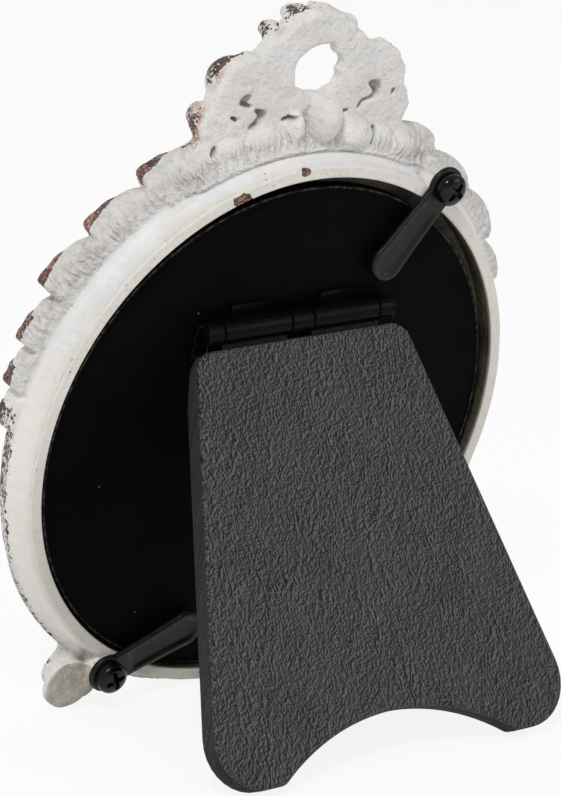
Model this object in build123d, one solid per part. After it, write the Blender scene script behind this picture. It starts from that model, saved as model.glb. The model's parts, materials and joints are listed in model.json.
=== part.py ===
# Round table-top photo frame with a crest, a folding easel leg and two turn clips.
#
# Millimetres. +Z is up, +Y is the back of the frame and -Y is the picture side.
# The pieces are first built upright: the rear rim lies in the plane y = 0 with the middle
# of the opening at x = z = 0. Then the whole frame leans back and stands on the floor.

import os
from math import asin, atan2, cos, degrees, hypot, radians, sin, sqrt

from build123d import *

# Posture
lean_angle = 12.2
leg_open_angle = 39.2
leg_folded_angle = 12.0
running_gap = 0.3
pivot_gap = 0.06
overrun = 1.0

# Cast ring
opening_radius = 50.0
rim_width = 2.3
collar_depth = 4.3
collar_flare = 1.1
flange_reach = 2.2
flange_lift = 2.0
flange_back = 4.9
flange_front = 9.6
ledge_width = 5.0
lip_thickness = 2.3
bead_height = 2.2

# Overlapping leaves along both sides of the ring, largest next to the crest
leaf_count = 7
leaf_inset = 0.6
leaf_first_angle = 28.0
leaf_pitch_angle = 12.2
leaf_shrink_share = 0.925
leaf_radius = 6.6
leaf_proud = 5.8
leaf_back = 7.0
leaf_thickness = 4.2

# Crest plate. Its rise is from the collar to the middle of the top, and the heights are shares of it.
crest_rise = 20.0
crest_shoulder_share = 0.38
scroll_height_share = 0.64
volute_height_share = 0.31
shoulder_lobe_height_share = 0.98
shell_height_share = 0.18
hang_hole_height_share = 0.765
crest_back = 8.0
crest_thickness = 3.6
crest_foot_inset = 1.0
crest_half_width = 27.0
crest_shoulder_half = 19.0
crest_tip_half = 8.6
crest_top_radius = 6.4
scroll_radius = 5.4
scroll_inset = 2.8
volute_radius = 5.2
volute_inset = 0.4
shoulder_lobe_radius = 3.3
shoulder_lobe_inset = 0.6
crest_relief = 3.0
relief_radius_share = 0.78
shell_radius = 9.0
shell_relief = 4.2

# Hanging hole and the small pierced openings of the crest
hang_hole_radius = 4.4
hang_notch_radius = 1.5
hang_notch_angles = (-25.0, 160.0, 215.0)
pierce_radius = 1.3
pierce_inset = 2.0
pierce_drop = 2.8
pierce_low_gap = 0.6
pierce_low_rise = 3.4

# Smooth leaf swells behind the crest
swell_radius = 4.6
swell_back = 5.2
swell_offsets = (0, 8.0, 18.2, 27.0)
swell_reach = 4.2

# Feet
foot_radius = 4.9
foot_offset = 35.0
foot_rise = 2.2
foot_back = 1.0
foot_thickness = 4.2
foot_flat = 0.5
neck_width = 7.0
neck_back = 2.0
neck_thickness = 5.0
toe_radius = 4.8
toe_inset = 4.4
toe_drop = 2.0
toe_back = 5.0
toe_thickness = 4.6

# Screw bosses and screws
screw_margin = 1.8
upper_screw_angle = 122.6
lower_screw_angle = -57.4
boss_radius = 3.7
boss_rise = 0.2
boss_depth = 8.2
screw_shank_radius = 1.45
screw_length = 6.6
screw_head_radius = 3.0
screw_head_height = 2.6
screw_edge_height = 1.2
recess_depth = 1.3
recess_arm = 1.75
recess_width = 0.62
clip_float = 0.1

# Turn clips
clip_sheet = 0.9
clip_eye_radius = 3.7
clip_arm_length = 17.4
clip_neck_half = 2.9
clip_tip_radius = 3.7
clip_groove_half = 1.3
clip_groove_depth = 0.35
clip_groove_start = 5.6
upper_clip_angle = -53.7
lower_clip_angle = 159.1

# Stack held in the ring
panel_side_gap = 1.3
panel_recess = 1.6
panel_thickness = 2.6
panel_edge_round = 0.5
card_side_gap = 1.4
card_thickness = 0.7
photo_side_gap = 1.6
photo_thickness = 0.3
glass_side_gap = 1.4
glass_thickness = 2.0

# Hinge
clip_hinge_gap = 3.05352
hinge_length = 42.0
hinge_sheet = 0.5
knuckle_radius = 2.2
pin_radius = 1.45
pin_inset = 0.8
knuckle_gap = 0.15
end_knuckle = 3.6
middle_knuckle = 5.0
panel_leaf_drop = 6.6
leg_leaf_drop = 14.0
leg_leaf_inset = 0.4
stop_tab_half = 4.0
stop_tab_reach = 4.0
rivet_radius = 0.9
rivet_head_radius = 1.7
rivet_head_height = 0.3
panel_rivet_inset = 1.7
panel_rivet_rise = 2.2
leg_rivet_inset = 6.0
leg_rivet_rise = 5.0

# Leg
leg_top_drop = 3.2
leg_side_margin = 2.2
leg_flare_share = 0.2336
leg_top_corner = 4.0
leg_foot_corner = 9.0
leg_toe_corner = 2.6
leg_arch_radius = 45.0
leg_pad_width = 14.7685
leg_outer_offset = 0.5
facing_thickness = 1.0
core_thickness = 3.8

# Places that follow from the sizes
recess_floor = panel_recess + panel_thickness + card_thickness + photo_thickness + glass_thickness
lip_front = recess_floor + lip_thickness
collar_root_radius = opening_radius + rim_width + collar_flare
sight_radius = opening_radius - ledge_width
screw_circle_radius = opening_radius + rim_width + screw_margin
panel_radius = opening_radius - panel_side_gap
card_radius = opening_radius - card_side_gap
photo_radius = opening_radius - photo_side_gap
glass_radius = opening_radius - glass_side_gap
swell_ring_radius = collar_root_radius + swell_reach
crest_foot_height = sight_radius - crest_foot_inset
crest_top_height = collar_root_radius + crest_rise
crest_shoulder_height = collar_root_radius + crest_shoulder_share * crest_rise
scroll_height = collar_root_radius + scroll_height_share * crest_rise
volute_height = collar_root_radius + volute_height_share * crest_rise
shoulder_lobe_height = collar_root_radius + shoulder_lobe_height_share * crest_rise
shell_height = collar_root_radius + shell_height_share * crest_rise
hang_hole_height = collar_root_radius + hang_hole_height_share * crest_rise
scroll_offset = crest_shoulder_half - scroll_inset
volute_offset = crest_shoulder_half - volute_inset
shoulder_lobe_offset = crest_tip_half - shoulder_lobe_inset
flange_radius = collar_root_radius + flange_reach
leaf_circle_radius = flange_radius - leaf_inset
foot_height = opening_radius - foot_rise
toe_offset = foot_offset - toe_inset
toe_height = foot_height + toe_drop
panel_drop = opening_radius - panel_radius - running_gap
panel_rivet_offset = hinge_length / 2 - panel_rivet_inset
panel_rivet_drop = panel_leaf_drop - panel_rivet_rise
leg_leaf_half = hinge_length / 2 - end_knuckle - leg_leaf_inset
leg_rivet_offset = leg_leaf_half - leg_rivet_inset
leg_rivet_drop = leg_leaf_drop - leg_rivet_rise
leg_top_half = hinge_length / 2 + leg_side_margin
axis_back = knuckle_radius + running_gap - panel_recess
upper_screw_height = screw_circle_radius * sin(radians(upper_screw_angle))
clip_low_end = upper_screw_height + clip_arm_length * sin(radians(upper_clip_angle)) - clip_tip_radius
axis_height = clip_low_end - knuckle_radius - clip_hinge_gap
leg_inner_offset = facing_thickness + core_thickness - leg_outer_offset
clip_back = boss_rise + clip_float
head_seat = clip_back + clip_sheet + clip_float
lean_sin = sin(radians(lean_angle))
lean_cos = cos(radians(lean_angle))
toe_low = toe_height + toe_radius - foot_flat
floor_level = -toe_low * lean_cos + toe_back * lean_sin
swing = radians(leg_open_angle - lean_angle)
axis_level = axis_height * lean_cos - axis_back * lean_sin
leg_length = (axis_level - floor_level - leg_inner_offset * sin(swing)) / cos(swing)
leg_foot_half = leg_top_half + leg_flare_share * (leg_length - leg_top_drop)
leg_arch_half = leg_foot_half - leg_pad_width


def at_depth(y):
    """Drawing plane at depth y, seen from the back to the front along -Y."""
    return Plane(origin=(0, y, 0), x_dir=Vector(X=1), z_dir=Vector(Y=-1))


def plate(outline, back, thickness):
    """Flat piece whose rear face is at depth back and that is thickness deep."""
    return extrude(at_depth(back) * outline, amount=thickness)


def disc(radius, back, thickness, x=0, z=0):
    """Round plate with its axis along Y."""
    return plate(Pos(x, z) * Circle(radius), back, thickness)


def dome(radius, height, depth, x=0, z=0, toward_back=False):
    """Cap of a ball whose flat side is at the given depth and that stands out by height."""
    ball_radius = (radius**2 + height**2) / (2 * height)
    half_turn = asin(radius / ball_radius) / 2
    way = 1 if toward_back else -1
    shoulder = (ball_radius * sin(half_turn), way * (height - ball_radius * (1 - cos(half_turn))))
    top = (0, way * height)
    outline = Polyline(top, (0, 0), (radius, 0)) + ThreePointArc((radius, 0), shoulder, top)
    return Pos(x, depth, z) * revolve(make_face(outline), axis=Axis.Y)


def on_circle(radius, angle):
    """Place on a circle about the opening, the angle in degrees from +X towards +Z."""
    return radius * cos(radians(angle)), radius * sin(radians(angle))


def bar(start, end, width, back, thickness):
    """Straight plate of one width between two places."""
    length = hypot(end[0] - start[0], end[1] - start[1])
    turn = degrees(atan2(end[1] - start[1], end[0] - start[0]))
    middle = ((start[0] + end[0]) / 2, (start[1] + end[1]) / 2)
    return plate(Pos(*middle) * Rot(Z=turn) * Rectangle(length, width), back, thickness)


def mirrored(piece):
    """The piece and its mirror image across the middle plane x = 0."""
    return piece + mirror(piece, about=Plane.YZ)


def stand(piece):
    """Lean the upright frame back and set it on the floor."""
    return Pos(0, 0, -floor_level) * Rot(X=-lean_angle) * piece


def open_leg(piece):
    """Swing a piece that hangs from the hinge axis out to the open leg."""
    return Pos(0, axis_back, axis_height) * Rot(X=leg_open_angle) * piece


# Cast ring with its crest and feet

def ring():
    """Turned ring: rear rim, collar, front bead and the ledge under the glass."""
    bead_radius = (sight_radius + collar_root_radius) / 2
    outline = [
        (sight_radius, -recess_floor),
        (opening_radius, -recess_floor),
        (opening_radius, 0),
        (opening_radius + rim_width, 0),
        (collar_root_radius, -collar_depth),
        (collar_root_radius, -lip_front),
    ]
    front = ThreePointArc(outline[-1], (bead_radius, -lip_front - bead_height), (sight_radius, -lip_front))
    edges = Polyline(*outline) + front + Line((sight_radius, -lip_front), outline[0])
    return revolve(make_face(edges), axis=Axis.Y)


def flange():
    """Flange behind the relief, raised a little so that it clears the floor."""
    return disc(flange_radius, -flange_back, flange_front - flange_back, 0, flange_lift)


def leaf_angle(index):
    """Angle of one leaf from the top: each step is the last one times the shrink share."""
    steps = (1 - leaf_shrink_share**index) / (1 - leaf_shrink_share)
    return leaf_first_angle + leaf_pitch_angle * steps


def leaves():
    """Leaves along both sides, standing less proud the further down they are."""
    pieces = []
    for index in range(leaf_count):
        proud = leaf_proud * (leaf_count - index) / leaf_count
        radius = leaf_radius * leaf_shrink_share**index
        x, z = on_circle(leaf_circle_radius + proud - radius, 90 - leaf_angle(index))
        pieces.append(disc(radius, -leaf_back, leaf_thickness, x, z))
        pieces.append(disc(radius, -leaf_back, leaf_thickness, -x, z))
    return pieces


def crest_outline():
    """Silhouette of the crest: a plate with round scrolls along both sides."""
    half = [
        (0, crest_foot_height),
        (crest_half_width, crest_foot_height),
        (crest_shoulder_half, crest_shoulder_height),
        (crest_tip_half, crest_top_height),
        (0, crest_top_height),
    ]
    body = make_face(Polyline(*half, close=True))
    body += Pos(0, crest_top_height) * Circle(crest_top_radius)
    body += Pos(shoulder_lobe_offset, shoulder_lobe_height) * Circle(shoulder_lobe_radius)
    body += Pos(scroll_offset, scroll_height) * Circle(scroll_radius)
    body += Pos(volute_offset, volute_height) * Circle(volute_radius)
    return body + mirror(body, about=Plane.YZ)


def hanging_hole():
    """Lobed hole for a nail."""
    hole = Pos(0, hang_hole_height) * Circle(hang_hole_radius)
    for angle in hang_notch_angles:
        x, z = on_circle(hang_hole_radius, angle)
        hole += Pos(x, z + hang_hole_height) * Circle(hang_notch_radius)
    return hole


def crest():
    """Crest plate with raised scrolls and a shell on the front, swells on the back."""
    front = -crest_back - crest_thickness
    piece = plate(crest_outline(), -crest_back, crest_thickness)
    scrolls = (
        (scroll_offset, scroll_height, scroll_radius),
        (volute_offset, volute_height, volute_radius),
        (shoulder_lobe_offset, shoulder_lobe_height, shoulder_lobe_radius),
    )
    for x, z, radius in scrolls:
        piece += mirrored(dome(radius * relief_radius_share, crest_relief, front, x, z))
    piece += dome(shell_radius, shell_relief, front, 0, shell_height)
    for offset in swell_offsets:
        height = sqrt(swell_ring_radius**2 - offset**2)
        piece += mirrored(dome(swell_radius, crest_back - swell_back, -crest_back, offset, height, True))
    through = crest_back + crest_thickness + crest_relief + overrun
    piece -= plate(hanging_hole(), 0, through)
    high = (scroll_offset - pierce_inset, scroll_height - pierce_drop)
    low = (shell_radius + pierce_low_gap, shell_height + pierce_low_rise)
    piece -= mirrored(disc(pierce_radius, 0, through, *high))
    return piece - mirrored(disc(pierce_radius, 0, through, *low))


def foot(side):
    """Round foot with a neck into the ring and a lower toe in front of it."""
    x = side * foot_offset
    angle = degrees(atan2(-foot_height, x))
    root = on_circle(collar_root_radius, angle)
    pad = disc(foot_radius, -foot_back, foot_thickness, x, -foot_height)
    toe = disc(toe_radius, -toe_back, toe_thickness, side * toe_offset, -toe_height)
    return pad + toe + bar(root, (x, -foot_height), neck_width, -neck_back, neck_thickness)


def boss(angle):
    """Round boss that takes a screw."""
    x, z = on_circle(screw_circle_radius, angle)
    return disc(boss_radius, boss_rise, boss_rise + boss_depth, x, z)


def pilot_hole(angle):
    """Blind hole for a screw, a thread clearance wider than its shank."""
    x, z = on_circle(screw_circle_radius, angle)
    depth = screw_length + overrun
    return disc(screw_shank_radius + pivot_gap, boss_rise + overrun, depth + overrun, x, z)


def floor_cut():
    """Everything below the floor, in the upright frame."""
    width = 2 * (flange_radius + overrun)
    depth = 2 * (leg_length + lip_front)
    block = Box(width, depth, foot_radius, align=(Align.CENTER, Align.CENTER, Align.MAX))
    return Rot(X=lean_angle) * Pos(0, 0, floor_level) * block


def frame_casting():
    """The whole casting in one solid."""
    piece = ring() + flange() + leaves() + crest() + foot(1) + foot(-1)
    bore = disc(opening_radius, overrun, overrun + recess_floor)
    sight = disc(sight_radius, -recess_floor + overrun, lip_front + bead_height)
    piece = piece - bore - sight
    piece += boss(upper_screw_angle) + boss(lower_screw_angle)
    piece -= pilot_hole(upper_screw_angle)
    piece -= pilot_hole(lower_screw_angle)
    return piece - bore - floor_cut()


# Picture stack

def back_panel():
    """Round black panel, resting on the bottom of the opening, with a rounded rear edge."""
    piece = disc(panel_radius, -panel_recess, panel_thickness, 0, -panel_drop)
    rear_edge = piece.edges().group_by(Axis.Y)[-1]
    return fillet(rear_edge, panel_edge_round) - panel_rivet_holes(0)


def resting_disc(radius, back, thickness):
    """Disc of the stack that rests on the bottom of the opening like the panel."""
    return disc(radius, -back, thickness, 0, radius + running_gap - opening_radius)


def backing_card():
    """Thin card behind the picture."""
    return resting_disc(card_radius, panel_recess + panel_thickness, card_thickness)


def photo_print():
    """The picture itself, a round print."""
    back = panel_recess + panel_thickness + card_thickness
    return resting_disc(photo_radius, back, photo_thickness)


def glass_pane():
    """Glass on the ledge of the casting."""
    return resting_disc(glass_radius, recess_floor - glass_thickness, glass_thickness)


# Hinge. These pieces hang from the axis: x along the pin, -Z down the leg, +Y outward.

def tube_between(start, end):
    """Rolled knuckle around the pin between two places along the axis."""
    length = end - start - 2 * knuckle_gap
    middle = (start + end) / 2
    roll = Cylinder(knuckle_radius, length) - Cylinder(pin_radius + pivot_gap, length + overrun)
    return Pos(middle, 0, 0) * Rot(Y=90) * roll


def fixed_knuckle_spans():
    """Spans of the knuckles of the leaf on the panel."""
    half = hinge_length / 2
    reach = half + knuckle_gap
    middle = middle_knuckle / 2
    return [(-reach, end_knuckle - half), (-middle, middle), (half - end_knuckle, reach)]


def moving_knuckle_spans():
    """Spans of the two knuckles of the leaf on the leg."""
    inner = middle_knuckle / 2
    outer = hinge_length / 2 - end_knuckle
    return [(-outer, -inner), (inner, outer)]


def hinge_panel_leaf():
    """Leaf on the panel, upright, with three knuckles."""
    seat = -panel_recess
    width = hinge_length
    leaf = Pos(0, seat + hinge_sheet / 2, axis_height - panel_leaf_drop / 2)
    piece = leaf * Box(width, hinge_sheet, panel_leaf_drop)
    clear = knuckle_radius + running_gap
    for start, end in moving_knuckle_spans():
        middle = Pos((start + end) / 2, axis_back, axis_height)
        piece -= middle * Rot(Y=90) * Cylinder(clear, end - start)
    for start, end in fixed_knuckle_spans():
        web_length = end - start - 2 * knuckle_gap
        web = Pos((start + end) / 2, seat, axis_height)
        piece += web * Box(web_length, axis_back - seat, hinge_sheet, align=(Align.CENTER, Align.MIN, Align.MAX))
        piece += Pos(0, axis_back, axis_height) * tube_between(start, end)
        hole = Cylinder(pin_radius + pivot_gap, end - start + overrun)
        piece -= Pos((start + end) / 2, axis_back, axis_height) * Rot(Y=90) * hole
    return piece - panel_rivet_holes(axis_back)


def panel_rivet_holes(back):
    """Holes for the rivets of the panel leaf, from the given depth to the front of the panel."""
    depth = back + panel_recess + panel_thickness
    holes = []
    for side in (-1, 1):
        place = (side * panel_rivet_offset, axis_height - panel_rivet_drop)
        holes.append(disc(rivet_radius + pivot_gap, back, depth, *place))
    return holes


def leaf_depth():
    """Distance of the leg leaf's outer face from the hinge axis, inside the plies."""
    return leg_outer_offset - facing_thickness


def hinge_leg_leaf():
    """Leaf between the plies of the leg, with two knuckles and a stop tab on each."""
    outer_face = leaf_depth()
    drop = leg_leaf_drop - pin_radius
    leaf = Pos(0, outer_face - hinge_sheet / 2, -pin_radius - drop / 2)
    piece = leaf * Box(2 * leg_leaf_half, hinge_sheet, drop)
    clear = knuckle_radius + running_gap
    for start, end in fixed_knuckle_spans():
        piece -= Pos((start + end) / 2, 0, 0) * Rot(Y=90) * Cylinder(clear, end - start)
    for start, end in moving_knuckle_spans():
        piece += tube_between(start, end)
        middle = (start + end) / 2
        tab = Box(2 * stop_tab_half, hinge_sheet, stop_tab_reach, align=(Align.CENTER, Align.MIN, Align.MIN))
        piece += Rot(X=-leg_open_angle) * Pos(middle, -knuckle_radius, 0) * tab
        piece -= Pos(middle, 0, 0) * Rot(Y=90) * Cylinder(pin_radius + pivot_gap, end - start)
    for side in (-1, 1):
        place = (side * leg_rivet_offset, -leg_rivet_drop)
        piece -= disc(rivet_radius + pivot_gap, outer_face + overrun, hinge_sheet + 2 * overrun, *place)
    return piece


def hinge_pin():
    """Wire pin through all knuckles, its ends a little inside the outer ones."""
    shaft = Cylinder(pin_radius, hinge_length - 2 * pin_inset)
    return Pos(0, axis_back, axis_height) * Rot(Y=90) * shaft


def rivet(shank_length):
    """Rivet whose head's underside is at y = 0, with its shank towards -Y."""
    return disc(rivet_radius, 0, shank_length) + dome(rivet_head_radius, rivet_head_height, 0, 0, 0, True)


def panel_rivets():
    """Two rivets that hold the leaf on the panel."""
    shank = hinge_sheet + panel_thickness
    pieces = []
    for side in (-1, 1):
        place = Pos(side * panel_rivet_offset, hinge_sheet - panel_recess, axis_height - panel_rivet_drop)
        pieces.append(place * rivet(shank))
    return pieces


def leg_rivets():
    """Two rivets that hold the leaf on the core board, under the facing."""
    shank = hinge_sheet + core_thickness / 2
    pieces = []
    for side in (-1, 1):
        place = Pos(side * leg_rivet_offset, leaf_depth(), -leg_rivet_drop)
        pieces.append(place * rivet(shank))
    return pieces


# Leg

def leg_outline():
    """Leg seen square on: flared sides, round feet and an arch between them."""
    corners = [
        (-leg_top_half, -leg_top_drop),
        (leg_top_half, -leg_top_drop),
        (leg_foot_half, -leg_length),
        (-leg_foot_half, -leg_length),
    ]
    face = make_face(Polyline(*corners, close=True))
    arch_rise = sqrt(leg_arch_radius**2 - leg_arch_half**2)
    face -= Pos(0, -leg_length - arch_rise) * Circle(leg_arch_radius)
    ends = face.vertices().sort_by(Axis.Y)
    face = fillet(ends[-2:], leg_top_corner)
    low = face.vertices().group_by(Axis.Y)[0].sort_by(Axis.X)
    face = fillet([low[0], low[-1]], leg_foot_corner)
    toes = [v for v in face.vertices() if abs(abs(v.X) - leg_arch_half) < leg_toe_corner / 2]
    return fillet(toes, leg_toe_corner)


def heel_bevel():
    """Wedge off the top inner edge, so that the folded leg clears the riveted leaf on the panel."""
    rise = axis_back + panel_recess - hinge_sheet - rivet_head_height - running_gap
    reach = leg_length / 2
    block = Box(2 * leg_length, reach, leg_length, align=(Align.CENTER, Align.MAX, Align.CENTER))
    return Rot(X=-leg_folded_angle) * Pos(0, -rise, 0) * block


def leaf_pocket(drop):
    """Room for the leg leaf in the core."""
    top = leg_top_drop - overrun
    width = 2 * (leg_leaf_half + pivot_gap)
    depth = hinge_sheet + pivot_gap
    block = Box(width, depth + overrun, drop - top, align=(Align.CENTER, Align.MIN, Align.MAX))
    return Pos(0, leaf_depth() - depth, -top) * block


def leg_core():
    """Board of the leg, with a pocket for the leaf and a bevelled heel."""
    piece = plate(leg_outline(), leaf_depth(), core_thickness)
    piece -= leaf_pocket(leg_leaf_drop + pivot_gap)
    for side in (-1, 1):
        hole_depth = hinge_sheet + core_thickness / 2 + pivot_gap
        place = (side * leg_rivet_offset, -leg_rivet_drop)
        piece -= disc(rivet_radius + pivot_gap, leaf_depth() + overrun, hole_depth + overrun, *place)
    return piece - heel_bevel()


def leg_facing():
    """Outer ply of the leg, hollowed behind for the rivet heads."""
    piece = plate(leg_outline(), leg_outer_offset, facing_thickness)
    for side in (-1, 1):
        room = rivet_head_height + pivot_gap
        place = (side * leg_rivet_offset, -leg_rivet_drop)
        piece -= disc(rivet_head_radius + pivot_gap, leaf_depth() + room, room + overrun, *place)
    return piece


# Clips and screws. Built at the origin with the arm along +X, then put on their boss.

def clip_outline():
    """Eye and arm, the arm growing wider to a round tip."""
    arm = [
        (0, -clip_neck_half),
        (clip_arm_length, -clip_tip_radius),
        (clip_arm_length, clip_tip_radius),
        (0, clip_neck_half),
    ]
    face = make_face(Polyline(*arm, close=True))
    face += Circle(clip_eye_radius)
    return face + Pos(clip_arm_length, 0) * Circle(clip_tip_radius)


def turn_clip():
    """Pressed clip with a hole for the screw and a long groove down its arm."""
    piece = plate(clip_outline(), clip_back + clip_sheet, clip_sheet)
    piece -= disc(screw_shank_radius + pivot_gap, clip_back + 2 * clip_sheet, 3 * clip_sheet)
    groove_length = clip_arm_length - clip_groove_start
    slot = SlotCenterToCenter(groove_length, 2 * clip_groove_half)
    groove = Pos(clip_groove_start + groove_length / 2, 0) * slot
    return piece - plate(groove, clip_back + clip_sheet + overrun, clip_groove_depth + overrun)


def pan_screw():
    """Pan head screw with a cross recess."""
    head_top = head_seat + screw_head_height
    piece = disc(screw_head_radius, head_seat + screw_edge_height, screw_edge_height)
    piece += dome(screw_head_radius, screw_head_height - screw_edge_height, head_seat + screw_edge_height, 0, 0, True)
    piece += disc(screw_shank_radius, head_seat, head_seat - boss_rise + screw_length)
    cross = Rectangle(2 * recess_arm, recess_width) + Rectangle(recess_width, 2 * recess_arm)
    return piece - plate(cross, head_top + overrun, recess_depth + overrun)


def seat_on(angle):
    """Place of a screw's axis in the rim plane."""
    x, z = on_circle(screw_circle_radius, angle)
    return x, 0, z


def at_screw(piece, angle, turn):
    """Put a clip or screw on its boss, turned about the screw."""
    return Pos(*seat_on(angle)) * Rot(Y=-turn) * piece


def write(name, piece):
    """Write one node, made of one solid or several separate ones."""
    solids = []
    for item in piece if isinstance(piece, list) else [piece]:
        solids.extend(item.solids())
    shape = solids[0] if len(solids) == 1 else Compound(solids)
    export_step(shape, os.path.join("parts", name + ".step"))


def build_all():
    """All pieces in place, by name."""
    upright = {
        "frame_casting": frame_casting(),
        "glass_pane": glass_pane(),
        "photo_print": photo_print(),
        "backing_card": backing_card(),
        "back_panel": back_panel(),
        "hinge_panel_leaf": hinge_panel_leaf(),
        "hinge_pin": hinge_pin(),
        "panel_rivets": panel_rivets(),
        "upper_turn_clip": at_screw(turn_clip(), upper_screw_angle, upper_clip_angle),
        "lower_turn_clip": at_screw(turn_clip(), lower_screw_angle, lower_clip_angle),
        "upper_screw": at_screw(pan_screw(), upper_screw_angle, upper_clip_angle),
        "lower_screw": at_screw(pan_screw(), lower_screw_angle, lower_clip_angle),
    }
    hanging = {
        "hinge_leg_leaf": hinge_leg_leaf(),
        "leg_rivets": leg_rivets(),
        "leg_core": leg_core(),
        "leg_facing": leg_facing(),
    }
    placed = {}
    for name, piece in upright.items():
        items = piece if isinstance(piece, list) else [piece]
        placed[name] = [stand(item) for item in items]
    for name, piece in hanging.items():
        items = piece if isinstance(piece, list) else [piece]
        placed[name] = [stand(open_leg(item)) for item in items]
    return placed


def centring(placed):
    """Shift that puts the middle of the whole box over the origin."""
    solids = [solid for items in placed.values() for item in items for solid in item.solids()]
    box = Compound(solids).bounding_box()
    return Pos(-box.center().X, -box.center().Y, -box.min.Z)


def print_joints(shift):
    """Print the joint places in millimetres, for the record."""
    names = {
        "leg": Pos(0, axis_back, axis_height),
        "upper clip": Pos(*seat_on(upper_screw_angle)),
        "lower clip": Pos(*seat_on(lower_screw_angle)),
        "opening": Pos(0, 0, 0),
        "hanging hole": Pos(0, -crest_back, hang_hole_height),
    }
    for name, place in names.items():
        print(name, (shift * stand(place)).position)


os.makedirs("parts", exist_ok=True)
pieces = build_all()
shift = centring(pieces)
for node, items in pieces.items():
    write(node, [shift * item for item in items])
print_joints(shift)
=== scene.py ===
"""Round table-top photo frame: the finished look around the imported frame.

Shapes are worked out in millimetres in the upright frame: x as in the row frame, y towards the
back and z up in the plane of the rear rim, with the middle of the opening at the origin. The
leg's pieces hang from the hinge axis: x along the pin, y outward and -z down the leg.
"""

import json
import math

import bmesh
import bpy
import numpy as np
from bpy.props import FloatProperty, FloatVectorProperty, PointerProperty
from bpy.types import NodeSocket, Operator, Panel, PropertyGroup
from mathutils import Euler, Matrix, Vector


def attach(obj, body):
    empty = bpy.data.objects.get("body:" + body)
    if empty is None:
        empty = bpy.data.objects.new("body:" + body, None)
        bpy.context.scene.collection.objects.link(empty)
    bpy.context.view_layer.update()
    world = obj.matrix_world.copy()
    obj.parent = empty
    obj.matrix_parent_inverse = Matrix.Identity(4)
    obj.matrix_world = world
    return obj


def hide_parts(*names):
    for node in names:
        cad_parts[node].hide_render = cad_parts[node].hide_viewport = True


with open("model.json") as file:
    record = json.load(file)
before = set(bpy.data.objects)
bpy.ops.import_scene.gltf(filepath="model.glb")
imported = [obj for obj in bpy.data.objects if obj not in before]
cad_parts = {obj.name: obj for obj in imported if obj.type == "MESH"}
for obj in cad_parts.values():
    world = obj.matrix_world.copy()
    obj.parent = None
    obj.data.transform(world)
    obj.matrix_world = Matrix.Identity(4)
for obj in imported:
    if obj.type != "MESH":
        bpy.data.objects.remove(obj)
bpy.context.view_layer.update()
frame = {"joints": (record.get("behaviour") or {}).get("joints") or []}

bl_info = {
    "name": "Round Photo Frame",
    "version": (1, 0, 0),
    "blender": (4, 5, 0),
    "location": "View3D > Sidebar > Photo Frame",
    "description": "Builds the casting, the stack, the hinge, the leg and the clips of a round photo frame",
    "category": "Object",
}

JOINTS = {joint["name"]: joint for joint in frame["joints"]}
CLIP_AXIS = JOINTS["upper_clip_turn"]["axis"]
LEAN = math.atan2(-CLIP_AXIS[2], CLIP_AXIS[1])
CENTRE = (np.array(JOINTS["upper_clip_turn"]["pos_m"])
          + np.array(JOINTS["lower_clip_turn"]["pos_m"])) / 2
HINGE = np.array(JOINTS["leg_fold"]["pos_m"])
LEG_SWING = math.radians(27.0)
MM = 0.001

# Opening, rim and collar
OPENING_RADIUS = 50.0
RIM_WIDTH = 2.3
COLLAR_RADIUS = 53.4
COLLAR_DEPTH = 4.3
SIGHT_RADIUS = 45.0
RECESS_FLOOR = 7.2
LIP_FRONT = 9.5
BEAD_HEIGHT = 2.1
PEARLS = 132
LEAF_SLOPE = 0.60
CREST_SLOPE = 0.62
SCREW_CIRCLE = 54.1
SCREW_ANGLES = {"upper": 122.6, "lower": -57.4}
CLIP_TURNS = {"upper": -53.7, "lower": 159.1}

# Stack, hinge and leg: drops are measured down from the hinge axis, halves from the middle
RUNNING_GAP = 0.3
PANEL_RADIUS = 48.7
PANEL_BACK = 1.6
DISC_SEGMENTS = 192
AXIS_HEIGHT = 22.6
AXIS_BACK = 0.9
HINGE_LENGTH = 42.0
SHEET = 0.5
KNUCKLE_RADIUS = 1.92
KNUCKLE_GAP = 0.15
END_KNUCKLE = 3.6
MIDDLE_KNUCKLE = 2.35
INNER_KNUCKLE = 2.65
LEG_LEAF_DEPTH = 0.75
LEG_OPENING = math.radians(39.2)
PANEL_LEAF_DROP = 6.6
LEG_LEAF_DROP = 13.9
LEG_LEAF_HALF = 17.0
TAB_DEPTH = 1.95
TAB_LENGTH = 3.9
TAB_HALF = 4.0
PIN_RADIUS = 1.45
RIVET_HEAD = 1.7
RIVET_SHANK = 0.9
RIVET_RISE = 0.3
PANEL_RIVET_APART = 19.3
PANEL_RIVET_DROP = 4.4
LEG_RIVET_APART = 11.0
LEG_RIVET_DROP = 9.0
LEG_TOP_DROP = 3.2
LEG_TOP_HALF = 23.2
LEG_FLARE = 0.2336
LEG_TOP_ROUND = 4.0
LEG_FOOT_ROUND = 9.0
LEG_INNER = 4.3
ARCH_RADIUS = 45.0
ARCH_HALF = 26.5
ARCH_ROUND = 2.6
HEEL_LEAN = math.radians(12.0)
HEEL_DEPTH = 1.4

# Turn clips and screws
CLIP_ARM = 17.4
CLIP_EYE = 3.7
CLIP_NECK = 2.85
CLIP_WIDENING = 0.75
CLIP_UNDER = 0.30
CLIP_EYE_TOP = 1.14
SCREW_SEAT = 1.3
SCREW_HEAD = 3.0
SCREW_SHANK = 1.45
SCREW_LENGTH = 7.6
RECESS_DEPTH = 1.25

# Lattice of the casting's skin: cell size, low corner, size, and the most triangles that the skin keeps
CELL = 0.4
LATTICE_LOW = (-59.0, -17.0, -56.5)
LATTICE_SIZE = (118.0, 19.0, 138.0)
MOST_TRIANGLES = 190000

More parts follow.
